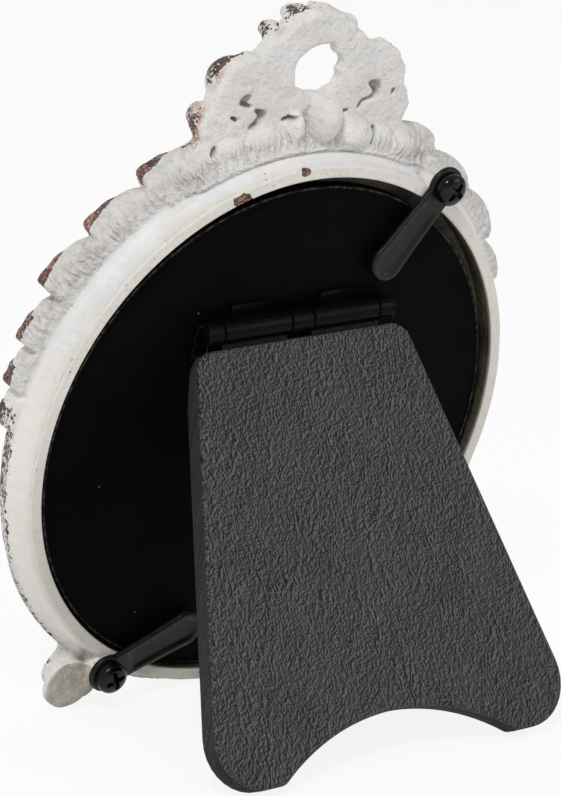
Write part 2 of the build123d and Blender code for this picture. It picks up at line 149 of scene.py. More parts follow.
# Colours that no setting changes
BORE_DARK, BORE_PALE = (0.030, 0.024, 0.014), (0.070, 0.058, 0.038)
LINT = (0.30, 0.30, 0.29)
BARE_METAL = (0.09, 0.088, 0.085)
GLASS_TINT = (0.985, 0.995, 0.99)
CARD_DARK, CARD_PALE, CARD_FLECK = (0.30, 0.28, 0.25), (0.42, 0.39, 0.35), (0.16, 0.14, 0.12)
WIRE_DARK, WIRE_PALE = (0.05, 0.05, 0.052), (0.16, 0.16, 0.165)
FLOOR_PAINT = (0.90, 0.90, 0.90)
WHITE = (1, 1, 1, 1)

# Lamps and floor: places in metres, the front lamp's share of the fill's power, and the floor's glow
LAMP_AIM = (0, 0, 0.06)
KEY_PLACE = (0.52, 0.50, 0.88)
FILL_PLACE = (-0.6, 0.7, 0.45)
FRONT_PLACE = (0.45, -0.75, 0.6)
FRONT_SHARE = 1.3
FLOOR_GLOW = 0.88


# Places and meshes

def turn_x(points, angle):
    """Turns points about the x axis by angle, from +y towards +z."""
    x, y, z = points[..., 0], points[..., 1], points[..., 2]
    c, s = math.cos(angle), math.sin(angle)
    return np.stack([x, y * c - z * s, y * s + z * c], -1)


def stand(points):
    """Upright millimetres to metres in the row frame: turned back by the lean, then moved to the opening's
    middle."""
    return turn_x(np.asarray(points, float), -LEAN) * MM + CENTRE


def upright_places(mesh):
    """The mesh's points in upright millimetres: the way back from stand."""
    places = np.empty(len(mesh.vertices) * 3)
    mesh.vertices.foreach_get("co", places)
    return turn_x((places.reshape(-1, 3) - CENTRE) / MM, LEAN)


def hang(points):
    """Leg millimetres to metres in the row frame: swung out from the vertical, then moved to the hinge
    axis."""
    return turn_x(np.asarray(points, float), LEG_SWING) * MM + HINGE


def make_piece(name, points, faces, body, material):
    """A mesh object at the origin, with its place in its mesh, riding on a body."""
    mesh = bpy.data.meshes.new(name)
    places = np.asarray(points, float).reshape(-1, 3).tolist()
    mesh.from_pydata(places, [], [list(map(int, face)) for face in faces])
    mesh.validate()
    shade_smooth(mesh)
    mesh.update()
    piece = bpy.data.objects.new(name, mesh)
    bpy.context.scene.collection.objects.link(piece)
    mesh.materials.append(material)
    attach(piece, body)
    return piece


def shade_smooth(mesh):
    """Soft shading on every face."""
    mesh.polygons.foreach_set("use_smooth", np.ones(len(mesh.polygons), bool))


def soften(piece, angle=35.0):
    """Soft shading on round faces, crisp shading across edges sharper than the angle."""
    piece.data.set_sharp_from_angle(angle=math.radians(angle))
    return piece


def turn_right(piece):
    """Merges points that coincide and points the faces outward by the sign of the enclosed volume."""
    work = bmesh.new()
    work.from_mesh(piece.data)
    bmesh.ops.remove_doubles(work, verts=work.verts, dist=1e-7)
    bmesh.ops.recalc_face_normals(work, faces=work.faces)
    work.to_mesh(piece.data)
    work.free()
    shade_smooth(piece.data)
    return piece


def join_parts(parts):
    """Points and faces of several parts in one list."""
    points, faces, start = [], [], 0
    for part_points, part_faces in parts:
        points.append(np.asarray(part_points, float))
        faces += [[k + start for k in face] for face in part_faces]
        start += len(part_points)
    return np.concatenate(points), faces


def grid_faces(rows, columns, closed_rows=False, closed_columns=False):
    """Quads of a grid of rows by columns points, wrapped round where it is closed."""
    i = np.arange(rows if closed_rows else rows - 1)[:, None]
    j = np.arange(columns if closed_columns else columns - 1)[None, :]
    i2, j2 = (i + 1) % rows, (j + 1) % columns
    quads = np.stack([i * columns + j, i * columns + j2, i2 * columns + j2, i2 * columns + j], -1)
    return quads.reshape(-1, 4)


def capped_grid(rows, segments):
    """Faces of a tube of rows rings, closed by a fan at each end. The middles of the fans are the two
    points after the rings."""
    faces = grid_faces(rows, segments, closed_columns=True).tolist()
    low, high, last = rows * segments, rows * segments + 1, (rows - 1) * segments
    faces += [[low, (j + 1) % segments, j] for j in range(segments)]
    faces += [[high, last + j, last + (j + 1) % segments] for j in range(segments)]
    return faces


def lathe(profile, segments, along="y"):
    """Turned surface: the point (r, h) of the profile goes round the axis, at (r cos t, h, r sin t) for
    an axis along y. The profile starts and ends on the axis, where r is 0, so that the skin is closed."""
    profile = np.asarray(profile, float)
    t = np.linspace(0, 2 * np.pi, segments, endpoint=False)
    ring = profile[1:-1]
    radius, depth = ring[:, :1], np.repeat(ring[:, 1:], segments, 1)
    side = np.stack([radius * np.cos(t), depth, radius * np.sin(t)], -1)
    points = np.concatenate([side.reshape(-1, 3), [[0, profile[0, 1], 0], [0, profile[-1, 1], 0]]])
    faces = capped_grid(len(ring), segments)
    if along == "x":
        points = points[:, [1, 0, 2]]
        faces = [face[::-1] for face in faces]
    return points, faces


def circle(radius, y, t):
    """Ring about the y axis at depth y: (radius cos t, y, radius sin t)."""
    return np.stack([radius * np.cos(t), np.full(len(t), y), radius * np.sin(t)], 1)


def rounded_profile(radius, back, front, edge, steps=5):
    """Half section of a disc from its rear middle to its front middle, both edges rounded by a quarter
    circle."""
    a = np.linspace(0, np.pi / 2, steps)
    rear = np.stack([radius - edge + edge * np.sin(a), back - edge + edge * np.cos(a)], 1)
    nose = np.stack([radius - edge + edge * np.cos(a), front + edge - edge * np.sin(a)], 1)
    flat = radius - edge - 0.5
    return np.concatenate([[[0, back], [flat, back]], rear, nose, [[flat, front], [0, front]]])


def rounded_outline(corners, radii, steps=10):
    """Closed outline whose corners are arcs tangent to both sides: each arc's centre lies on the corner's
    bisector."""
    corners = np.asarray(corners, float)
    out = []
    for k, radius in enumerate(radii):
        here, before, after = corners[k], corners[k - 1], corners[(k + 1) % len(corners)]
        a, b = before - here, after - here
        a, b = a / np.linalg.norm(a), b / np.linalg.norm(b)
        half = math.acos(np.clip(a @ b, -1, 1)) / 2
        if radius <= 0 or half > math.radians(89):
            out.append(here[None])
            continue
        reach = radius / math.tan(half)
        middle = here + (a + b) / np.linalg.norm(a + b) * radius / math.sin(half)
        first, last = here + a * reach - middle, here + b * reach - middle
        t0, t1 = math.atan2(first[1], first[0]), math.atan2(last[1], last[0])
        sweep = (t1 - t0 + np.pi) % (2 * np.pi) - np.pi
        t = t0 + sweep * np.linspace(0, 1, steps)
        out.append(middle + radius * np.stack([np.cos(t), np.sin(t)], 1))
    return np.concatenate(out)


def even_outline(outline, spacing):
    """The same closed outline with points at an even spacing along it."""
    loop = np.concatenate([outline, outline[:1]])
    run = np.concatenate([[0], np.cumsum(np.linalg.norm(np.diff(loop, axis=0), axis=1))])
    at = np.linspace(0, run[-1], max(8, int(run[-1] / spacing)), endpoint=False)
    return np.stack([np.interp(at, run, loop[:, 0]), np.interp(at, run, loop[:, 1])], 1)


def inset(outline, distance):
    """Each outline point moved inward along its normal. The outline runs counter-clockwise."""
    ahead, behind = np.roll(outline, -1, 0), np.roll(outline, 1, 0)
    along = ahead - behind
    along /= np.linalg.norm(along, axis=1)[:, None]
    return outline + np.stack([-along[:, 1], along[:, 0]], 1) * distance


def slab(outline, sections):
    """Plate with a moulded edge: ring k is the (x, z) outline set in by sections[k][0] at depth y =
    sections[k][1]. The first ring closes the back and the last one the front."""
    rings = [np.insert(inset(outline, d), 1, y, axis=1) for d, y in sections]
    points = np.concatenate(rings)
    n = len(outline)
    faces = grid_faces(len(rings), n, closed_columns=True)[:, ::-1].tolist()
    faces.append(list(range(n))[::-1])
    faces.append([(len(rings) - 1) * n + k for k in range(n)])
    return points, faces


# Casting: one skin where a blended field of relief heights crosses zero

def smin(a, b, k):
    """Smaller of two fields, blended over a band k wide by a quadratic."""
    h = np.maximum(k - np.abs(a - b), 0) / k
    return np.minimum(a, b) - h * h * k / 4


def smax(a, b, k):
    """Larger of two fields, blended over a band k wide by a quadratic."""
    return -smin(-a, -b, k)


def smoothstep(low, high, value):
    """0 before low, 1 past high and an S curve between them; low may be the greater one."""
    t = np.clip((value - low) / (high - low), 0, 1)
    return t * t * (3 - 2 * t)


def bump(value, middle, half):
    """1 at the middle, falling as a cosine to 0 at half away."""
    t = np.clip(np.abs(value - middle) / half, 0, 1)
    return 0.5 + 0.5 * np.cos(np.pi * t)


def polygon_field(x, z, corners):
    """Distance to a polygon's edge in the plane, negative inside: the nearest of its sides, signed by an
    even-odd count."""
    corners = np.asarray(corners, float)
    nearest = np.full(np.broadcast(x, z).shape, 1e9)
    odd = np.zeros(nearest.shape, bool)
    for (ax, az), (bx, bz) in zip(corners, np.roll(corners, -1, 0)):
        ex, ez = bx - ax, bz - az
        t = np.clip(((x - ax) * ex + (z - az) * ez) / (ex * ex + ez * ez), 0, 1)
        nearest = np.minimum(nearest, np.hypot(x - ax - t * ex, z - az - t * ez))
        crosses = ((az > z) != (bz > z)) & (x < (bx - ax) * (z - az) / (bz - az + 1e-12) + ax)
        odd ^= crosses
    return np.where(odd, -nearest, nearest)


# Leaves from the top down, one side: angle of the upper end, angle of the hooked tip, reach, rise along it
LEAVES = (
    (22.0, 33.4, 61.0, 2.0), (33.4, 46.0, 60.1, 2.2), (46.0, 58.2, 60.0, 2.4),
    (58.2, 68.6, 57.6, 1.7), (68.6, 77.0, 56.3, 1.2), (77.0, 85.0, 55.2, 0.9),
)
# Crest from its top down, one side: rear outline (x, z), then lobes of the front relief (x, z, radius)
CREST_HALF = (
    (0, 79.3), (3.2, 79.0), (5.4, 77.7), (9.4, 74.5), (12.6, 72.0), (16.2, 71.7), (19.2, 69.6), (20.9, 66.5),
    (21.6, 63.0), (23.6, 59.6), (22.4, 56.2), (24.0, 54.2), (27.0, 52.4), (29.0, 49.8), (29.0, 43.0),
)
CREST_BODY = CREST_HALF + tuple((-x, z) for x, z in CREST_HALF[:0:-1])
CREST_LOBES = ((2.4, 76.8, 2.4), (8.0, 74.6, 2.2), (16.3, 66.4, 4.6), (20.2, 59.4, 2.9))
# Shell on the crest's front: the middle that it fans out from
SHELL_Z = 52.0
# Swells behind the crest: angle, distance from the middle, half size along and across the ring, height
SWELLS = (
    (-3.0, 59.3, 3.5, 5.0, 5.1), (2.9, 57.2, 2.2, 3.8, 2.5), (-10.4, 56.2, 4.6, 3.1, 3.4),
    (9.4, 56.6, 4.2, 2.8, 2.0), (-17.6, 56.2, 2.9, 2.5, 2.2), (17.0, 57.0, 3.2, 2.4, 1.6),
    (-23.6, 56.0, 4.0, 2.8, 2.5), (25.5, 56.4, 3.6, 2.4, 1.4),
)
# Hanging hole: its middle and radius, then the lobes of its edge (x, z, radius)
HOLE = (-0.5, 68.3, 4.6)
HOLE_LOBES = (
    (-4.2, 68.9, 1.9), (1.7, 66.4, 2.1), (2.0, 69.3, 2.2), (-2.3, 65.2, 1.9), (-2.4, 71.6, 1.3),
    (-4.0, 66.0, 1.9),
)
# Curled slots of the crest: the depth that each reaches, then its line as (x, z, half width)
SLOTS = (
    (9.6, (11.7, 61.6, 0.35), (10.0, 60.7, 0.80), (11.0, 59.2, 0.75), (12.6, 58.3, 0.35)),
    (9.0, (15.1, 63.1, 0.30), (13.2, 62.5, 0.45)),
    (9.0, (16.8, 60.8, 0.30), (15.6, 60.1, 0.40)),
    (9.0, (5.5, 59.2, 0.30), (3.4, 59.8, 0.45)),
    (9.6, (-13.0, 64.5, 0.35), (-14.6, 63.9, 0.90), (-15.1, 62.1, 0.70), (-13.5, 61.5, 0.35),
     (-12.0, 61.1, 0.35), (-11.3, 59.8, 0.30)),
    (9.0, (-7.6, 58.4, 0.35), (-7.8, 59.4, 0.35), (-9.1, 59.6, 0.30)),
    (7.8, (-15.3, 55.7, 0.35), (-14.4, 54.6, 0.45), (-14.2, 53.5, 0.30)),
    (7.8, (19.7, 55.2, 0.45), (20.1, 54.1, 0.40)),
    (9.0, (-19.0, 62.6, 0.40), (-18.6, 61.9, 0.30)),
)
# Feet, one side: middle (x, z) and radius of the pad and of the toe, then the direction and ends of the neck
FOOT_PAD = (35.7, -47.8, 4.5)
FOOT_STRETCH = 1.1
FOOT_TOE = (30.6, -49.8, 4.8)
NECK_WAY = (35.0 / 59.24, -47.8 / 59.24)
NECK_ENDS = (52.6, 59.2)


def leaf_shape(angle, rho, y):
    """Outline of the overlapping leaves. A leaf's reach rises towards three quarters of its length as a
    parabola, bends in a little and drops within a degree at its hooked tip. Below the leaves the wall
    leans in towards the front. Returns the distance past the outline, the share along the leaf and the
    reach."""
    share = np.zeros(angle.shape)
    reach = np.full(angle.shape, 59.0)
    for start, tip, radius, rise in LEAVES:
        t = (angle - start) / (tip - start)
        here = (t >= 0) & (t < 1)
        arc = np.where(t < 0.72, (1 - t / 0.72) ** 2 * rise, (t - 0.72) ** 2 * 7.0)
        edge = radius - arc - (rise * 0.8) * smoothstep(0.965, 1.0, t)
        reach = np.where(here, edge, reach)
        share = np.where(here, t, share)
    down = smoothstep(92, 132, angle)
    low = 54.4 + 0.8 * down - (0.55 - 0.4 * down) * np.clip(-y - 5.2, 0, 6)
    reach = np.where(angle >= LEAVES[-1][1], low, reach)
    return rho - reach, share, reach


def crest_outline(x, z):
    """Distance past the crest's rear outline, and past the outline of the relief in front of it: the
    first is a polygon with a gentle ripple, the second is set in and blended with round lobes."""
    outline = polygon_field(x, z, CREST_BODY) - 0.2 * np.sin(1.9 * x + 0.7 * z) * smoothstep(56, 62, z)
    relief = outline + 1.2
    for lx, lz, radius in CREST_LOBES:
        relief = smin(relief, np.hypot(np.abs(x) - lx, z - lz) - radius, 0.8)
    return outline, relief


def spiral(x, z, middle, turn, pitch):
    """Rolled ridge of a volute: a rounded ridge where radius over pitch, less the angle in turns, is a
    whole number."""
    dx, dz = x - middle[0], z - middle[1]
    radius = np.hypot(dx, dz)
    phase = radius / pitch - turn * np.arctan2(dz, dx) / (2 * np.pi)
    return 0.5 + 0.5 * np.cos(2 * np.pi * phase)


def floor_line(y):
    """Height of the floor in the upright frame at depth y: a plane that leans with the frame."""
    return y * math.tan(LEAN) - CENTRE[2] / MM / math.cos(LEAN)


def lumps(x, z, cell, seed):
    """Uneven cast surface, -1 to 1: random heights at the corners of a square net over (x, z), mixed
    across each square by S curves."""
    heights = np.random.default_rng(seed).uniform(-1, 1, (128, 128))
    u, v = x / cell + 60, z / cell + 60
    i, j = np.floor(u).astype(int), np.floor(v).astype(int)
    s, t = smoothstep(0, 1, u - i), smoothstep(0, 1, v - j)
    i, j = i % 127, j % 127
    near = heights[i, j] * (1 - s) + heights[i + 1, j] * s
    far = heights[i, j + 1] * (1 - s) + heights[i + 1, j + 1] * s
    return near * (1 - t) + far * t


def cast_skin(x, z):
    """Uneven skin of the casting: waves from three sizes of lumps, and creases that run outward from the
    ring, a cosine round it that lumps bend, where coarser lumps are high."""
    wave = 0.18 * lumps(x, z, 4.3, 3) + 0.13 * lumps(x, z, 2.0, 5) + 0.10 * lumps(x, z, 1.1, 7)
    creases = 0.24 * np.cos(np.arctan2(x, z) * 205 + 3.0 * lumps(x, z, 3.4, 9))
    return wave, creases * smoothstep(-0.6, 0.2, lumps(x, z, 5.2, 13))


def ring_field(x, y, z, rho):
    """Height field of the ring, a turned section: rim and collar behind, ledge, bead and pearls in front."""
    spread = COLLAR_RADIUS - OPENING_RADIUS - RIM_WIDTH
    collar = OPENING_RADIUS + RIM_WIDTH + spread * np.clip(-y / COLLAR_DEPTH, 0, 1)
    rim_wall = smax(OPENING_RADIUS + 0.3 - rho, rho - collar + 0.3, 0.3)
    rim = smax(rim_wall, smax(y + 0.4, -9.4 - y, 0.4), 0.6)
    bead = np.clip(1 - ((rho - 48.3) / 3.5) ** 2, 0, 1)
    pearl = 0.5 + 0.5 * np.cos(np.arctan2(x, z) * PEARLS)
    front_line = LIP_FRONT - 0.3 + BEAD_HEIGHT * np.sqrt(bead)
    front_line = front_line + 0.75 * pearl * bump(rho, 46.1, 0.95)
    wall = rho - COLLAR_RADIUS + 0.5 * np.clip(-y - 6.2, 0, 6)
    ledge_wall = smax(SIGHT_RADIUS - rho, wall, 0.5)
    ledge = smax(ledge_wall, smax(y + RECESS_FLOOR, -front_line - y, 0.5), 0.5)
    return smin(rim, ledge, 0.35)


def inner_drop(rho):
    """How far the fronts of leaves and crest step back where they run in behind the bead."""
    return 1.7 * smoothstep(53.3, 52.0, rho)


def leaf_field(y, rho, angle, wave, creases):
    """Height field of the leaves: a coned back with fine flutes and creases, fluted shells in front, and
    a plain border with soft waves below the last leaf."""
    edge, share, reach = leaf_shape(angle, rho, y)
    turns = np.radians(angle) * 54
    upper = smoothstep(118, 60, angle)
    flutes = 0.10 * np.cos(turns * 0.9 + 2.2 * np.sin(turns * 0.13)) * bump(rho, 57.4, 2.4)
    groove = 0.34 * bump(rho, 57.5, 2.0) - 0.30 * bump(rho, 54.9, 1.7)
    back = -COLLAR_DEPTH - LEAF_SLOPE * np.clip(rho - COLLAR_RADIUS, 0, 9) + (flutes + groove) * upper
    back = back + (0.50 * wave + 0.70 * creases) * smoothstep(53.9, 56.0, rho)
    back = back - 0.4 * share * smoothstep(58.2, 59.4, rho)
    across = np.clip((rho - 53.0) / (reach - 53.0), 0, 1.2)
    ribs = np.cos((share - 0.2 - 0.35 * across) * 2 * np.pi * 3.0)
    dome = 0.5 * np.sqrt(np.clip(1 - (across - 0.45) ** 2 * 2.4, 0, 1))
    front = 9.5 + (1.1 * share + dome) + 0.42 * ribs * bump(across, 0.6, 0.6)
    front = front - inner_drop(rho)
    plain = smoothstep(82, 92, angle)
    border = 9.0 + 0.3 * np.cos(turns * 0.55) * bump(rho, 53.0, 1.6)
    front = front * (1 - plain) + border * plain
    return smax(edge, smax(y - back, -front - y, 0.7), 0.55)


def crest_behind(outline, x, z, rho, wave, creases):
    """Depth of the crest's rear face: an uneven plate that rounds off at its outline and slopes down to
    the ring in pleats, with a half ellipsoid for each swell, ribbed where it lies off the middle."""
    back = -8.0 + wave * 1.7 + 0.3 * smoothstep(0.0, -2.2, outline)
    near_ring = -COLLAR_DEPTH - CREST_SLOPE * np.clip(rho - COLLAR_RADIUS, 0, 9)
    near_ring = near_ring - 0.2 * bump(rho, 55.0, 1.6)
    pleats = 2.3 * creases * smoothstep(53.6, 55.2, rho) * smoothstep(59.4, 57.0, rho)
    back = smax(back, near_ring + 0.9 * bump(rho, 55.1, 2.1) + pleats, 0.6)
    for turn, middle, half_along, half_across, height in SWELLS:
        along = np.radians(np.degrees(np.arctan2(x, z)) - turn) * rho / half_along
        across = (rho - middle) / half_across
        cap = np.clip(1.1 - along * along - across * across, 0, 1.1)
        ribs = 0.36 * np.cos(along * 8.0 + 3.0 * across) * bump(cap, 0.35, 0.45) * (abs(turn) > 5)
        back = smax(back, -8.4 + 0.25 * (63.0 - middle) + (height + ribs) * np.sqrt(cap), 0.15)
    return back


def crest_ahead(relief, x, z):
    """Depth of the crest's front relief: rolled scrolls on the lobes, a fluted shell at the foot, a ring
    at the top and a raised border along the outline."""
    ax = np.abs(x)
    front = 10.7 + 0.2 * np.sin(0.9 * x) * np.sin(0.8 * z)
    for (lx, lz, radius), turn in zip(CREST_LOBES, (-1, 1, -1, 1)):
        near = smoothstep(radius + 0.9, radius * 0.5, np.hypot(ax - lx, z - lz))
        front = front + near * (0.8 + 1.25 * spiral(ax, z, (lx, lz), turn, radius * 0.58))
    fan = np.arctan2(x, z - SHELL_Z)
    shell_r = np.hypot(x, z - SHELL_Z)
    shell = np.sqrt(np.clip(1 - ((shell_r - 6.4) / 6.6) ** 2, 0, 1)) * smoothstep(1.25, 0.95, np.abs(fan))
    front = front + shell * (3.1 + 0.75 * np.cos(fan * 12.5))
    front = front + 1.3 * bump(np.hypot(x, z - 73.0), 5.3, 1.7) * smoothstep(66, 70, z)
    return front + 0.9 * bump(relief, -1.0, 1.0)


def crest_field(x, y, z, rho, wave, creases):
    """Height field of the crest: the plate behind and the relief plate in front of it."""
    outline, relief = crest_outline(x, z)
    back = crest_behind(outline, x, z, rho, wave, creases)
    plate = smax(outline, smax(y - back, -10.3 - y + inner_drop(rho), 0.8), 1.0)
    front = crest_ahead(relief, x, z)
    relief_plate = smax(relief, smax(y + 9.2, -front - y, 1.0), 0.9)
    return smin(plate, relief_plate, 0.5)


def foot_fields(x, y, z):
    """Height fields of a foot's parts, each with the width of its blend: a neck along its own line, a
    flat pad and a lower toe in front of it."""
    ax = np.abs(x)
    along = np.clip(ax * NECK_WAY[0] + z * NECK_WAY[1], *NECK_ENDS)
    neck = np.hypot(ax - along * NECK_WAY[0], z - along * NECK_WAY[1]) - 3.4
    neck_plate = smax(neck, smax(y + 1.9 + 0.25 * (NECK_ENDS[1] - along), -7.4 - y, 0.6), 1.2)
    pad = np.hypot((ax - FOOT_PAD[0]) / FOOT_STRETCH, z - FOOT_PAD[1]) - FOOT_PAD[2]
    pad_plate = smax(pad, smax(y + 1.4, -2.9 - y, 0.4), 0.6)
    toe = np.hypot(ax - FOOT_TOE[0], z - FOOT_TOE[1]) - FOOT_TOE[2]
    toe_plate = smax(toe, smax(y + 4.9, -9.7 - y + 0.4 * np.clip(toe + 2.5, 0, 3), 0.7), 1.0)
    return (neck_plate, 1.2), (pad_plate, 0.6), (toe_plate, 0.9)


def bore_field(y, rho):
    """Height field of what the bore takes away: everything inside the opening down to the recess's floor."""
    bore = smin(OPENING_RADIUS - rho, -RECESS_FLOOR - y, 0.3)
    return np.where(y > -RECESS_FLOOR - 0.6, bore, -9)


def hanging_hole_field(x, y, z):
    """Height field of the hanging hole, negative inside: round lobes about its middle and a tooth on one
    side, moving along and narrowing with depth."""
    sunk = np.clip(-y - 8.6, 0, 4)
    hx, hz = x + 0.55 * sunk, z + 0.36 * sunk
    hole = np.hypot(hx - HOLE[0], hz - HOLE[1]) - HOLE[2]
    for lx, lz, radius in HOLE_LOBES:
        hole = smin(hole, np.hypot(hx - lx, hz - lz) - radius, 0.3)
    hole = hole - 0.15 * lumps(x, z, 2.2, 17)
    return smax(hole, 1.5 - np.hypot(hx + 6.9, hz - 64.6), 0.5) - 0.25 * sunk


def slot_field(x, z, line):
    """Distance to a curled slot's edge, negative inside: the nearest of its stretches, each with a half
    width that runs evenly from one end to the other."""
    slot = 9.0
    for (x0, z0, half0), (x1, z1, half1) in zip(line, line[1:]):
        dx, dz = x1 - x0, z1 - z0
        share = np.clip(((x - x0) * dx + (z - z0) * dz) / (dx * dx + dz * dz), 0, 1)
        away = np.hypot(x - x0 - share * dx, z - z0 - share * dz)
        slot = np.minimum(slot, away - half0 - (half1 - half0) * share)
    return slot


def casting_field(x, y, z):
    """Height field of the whole casting on a lattice, negative inside. The ring is a turned section, and
    leaves, crest and feet are plates between a back and a front height over (x, z). They are joined by
    smooth minimums and cut by smooth maximums."""
    rho = np.hypot(x, z)
    angle = np.degrees(np.arctan2(np.abs(x), z))
    wave, creases = cast_skin(x, z)
    field = smin(leaf_field(y, rho, angle, wave, creases), crest_field(x, y, z, rho, wave, creases), 1.6)
    field = smin(field, ring_field(x, y, z, rho), 0.9)
    for plate, blend in foot_fields(x, y, z):
        field = smin(field, plate, blend)
    for turn in SCREW_ANGLES.values():
        bx = SCREW_CIRCLE * math.cos(math.radians(turn))
        bz = SCREW_CIRCLE * math.sin(math.radians(turn))
        stub = np.hypot(x - bx, z - bz) - 3.6
        field = smin(field, smax(stub, smax(y - 0.2, -8.0 - y, 0.4), 0.4), 0.7)

    # Cut the bore, the sight opening, the hanging hole, a slit on each side and the curled slots
    field = smax(field, bore_field(y, rho), 0.3)
    field = smax(field, SIGHT_RADIUS - rho, 0.4)
    field = smax(field, -hanging_hole_field(x, y, z), 0.8)
    ax = np.abs(x)
    slit = np.hypot((ax - 14.4) / 1.25, (z - 63.9 + 0.3 * (ax - 14.4)) / 0.95) - 1
    field = smax(field, -slit, 0.4)
    for depth, *line in SLOTS:
        field = smax(field, -smax(slot_field(x, z, line), -depth - y, 0.5), 0.3)

    # Trim what reaches under the floor
    return smax(field, floor_line(y) + 0.05 - z, 0.25)


def net_skin(field, low, step):
    """Closed skin where a lattice field crosses zero: each mixed cell gets one point, the mean of the
    crossings on its edges, and each crossed lattice edge joins the four cells around it by a quad that
    faces the positive side."""
    cells = np.array(field.shape) - 1
    stride = np.array([cells[1] * cells[2], cells[2], 1])
    total = np.zeros((3, cells.prod()))
    count = np.zeros(cells.prod())
    quads = []
    for axis in range(3):
        first = np.moveaxis(field, axis, 0)[:-1]
        second = np.moveaxis(field, axis, 0)[1:]
        found = np.argwhere((first < 0) != (second < 0))
        a, b = first[tuple(found.T)], second[tuple(found.T)]
        place = np.empty_like(found)
        others = [k for k in range(3) if k != axis]
        place[:, axis] = found[:, 0]
        place[:, others[0]] = found[:, 1]
        place[:, others[1]] = found[:, 2]
        spot = place.astype(float)
        spot[:, axis] += a / (a - b)
        ring = []
        for d0, d1 in ((1, 1), (0, 1), (0, 0), (1, 0)):
            cell = place.copy()
            cell[:, others[0]] -= d0
            cell[:, others[1]] -= d1
            index = cell @ stride
            ring.append(index)
            count += np.bincount(index, minlength=len(count))
            for k in range(3):
                total[k] += np.bincount(index, weights=spot[:, k], minlength=len(count))
        quad = np.stack(ring, 1)
        flip = (a < 0) if axis != 1 else (a >= 0)
        quad[~flip] = quad[~flip][:, ::-1]
        quads.append(quad)
    used = np.flatnonzero(count)
    number = np.full(len(count), -1)
    number[used] = np.arange(len(used))
    points = np.asarray(low) + step * (total[:, used] / count[used]).T
    return points, number[np.concatenate(quads)]


def box_blur(values, reach, axis):
    """Running mean over 2 * reach + 1 samples along one axis, from differences of the running sum."""
    pad = [(0, 0)] * 3
    pad[axis] = (reach + 1, reach)
    run = np.cumsum(np.pad(values, pad, mode="edge"), axis=axis)
    n = values.shape[axis]
    high = np.take(run, np.arange(2 * reach + 1, 2 * reach + 1 + n), axis)
    low = np.take(run, np.arange(n), axis)
    return (high - low) / (2 * reach + 1)


def sample(values, points, low, step):
    """Value of a lattice at points between its samples, mixed from the eight corners by their shares."""
    at = (points - np.asarray(low)) / step
    base = np.clip(np.floor(at).astype(int), 0, np.array(values.shape) - 2)
    part = at - base
    out = np.zeros(len(points))
    for i in (0, 1):
        for j in (0, 1):
            for k in (0, 1):
                share = np.abs(1 - i - part[:, 0]) * np.abs(1 - j - part[:, 1]) * np.abs(1 - k - part[:, 2])
                out += share * values[base[:, 0] + i, base[:, 1] + j, base[:, 2] + k]
    return out


# Materials

def opaque(colour):
    """A colour for a socket: a link as it is, or three numbers with an alpha of 1."""
    return colour if isinstance(colour, NodeSocket) else (*colour, 1.0)


def shaded(colour, factor):
    """A setting's colour made paler or darker by a factor."""
    return [level * factor for level in colour]


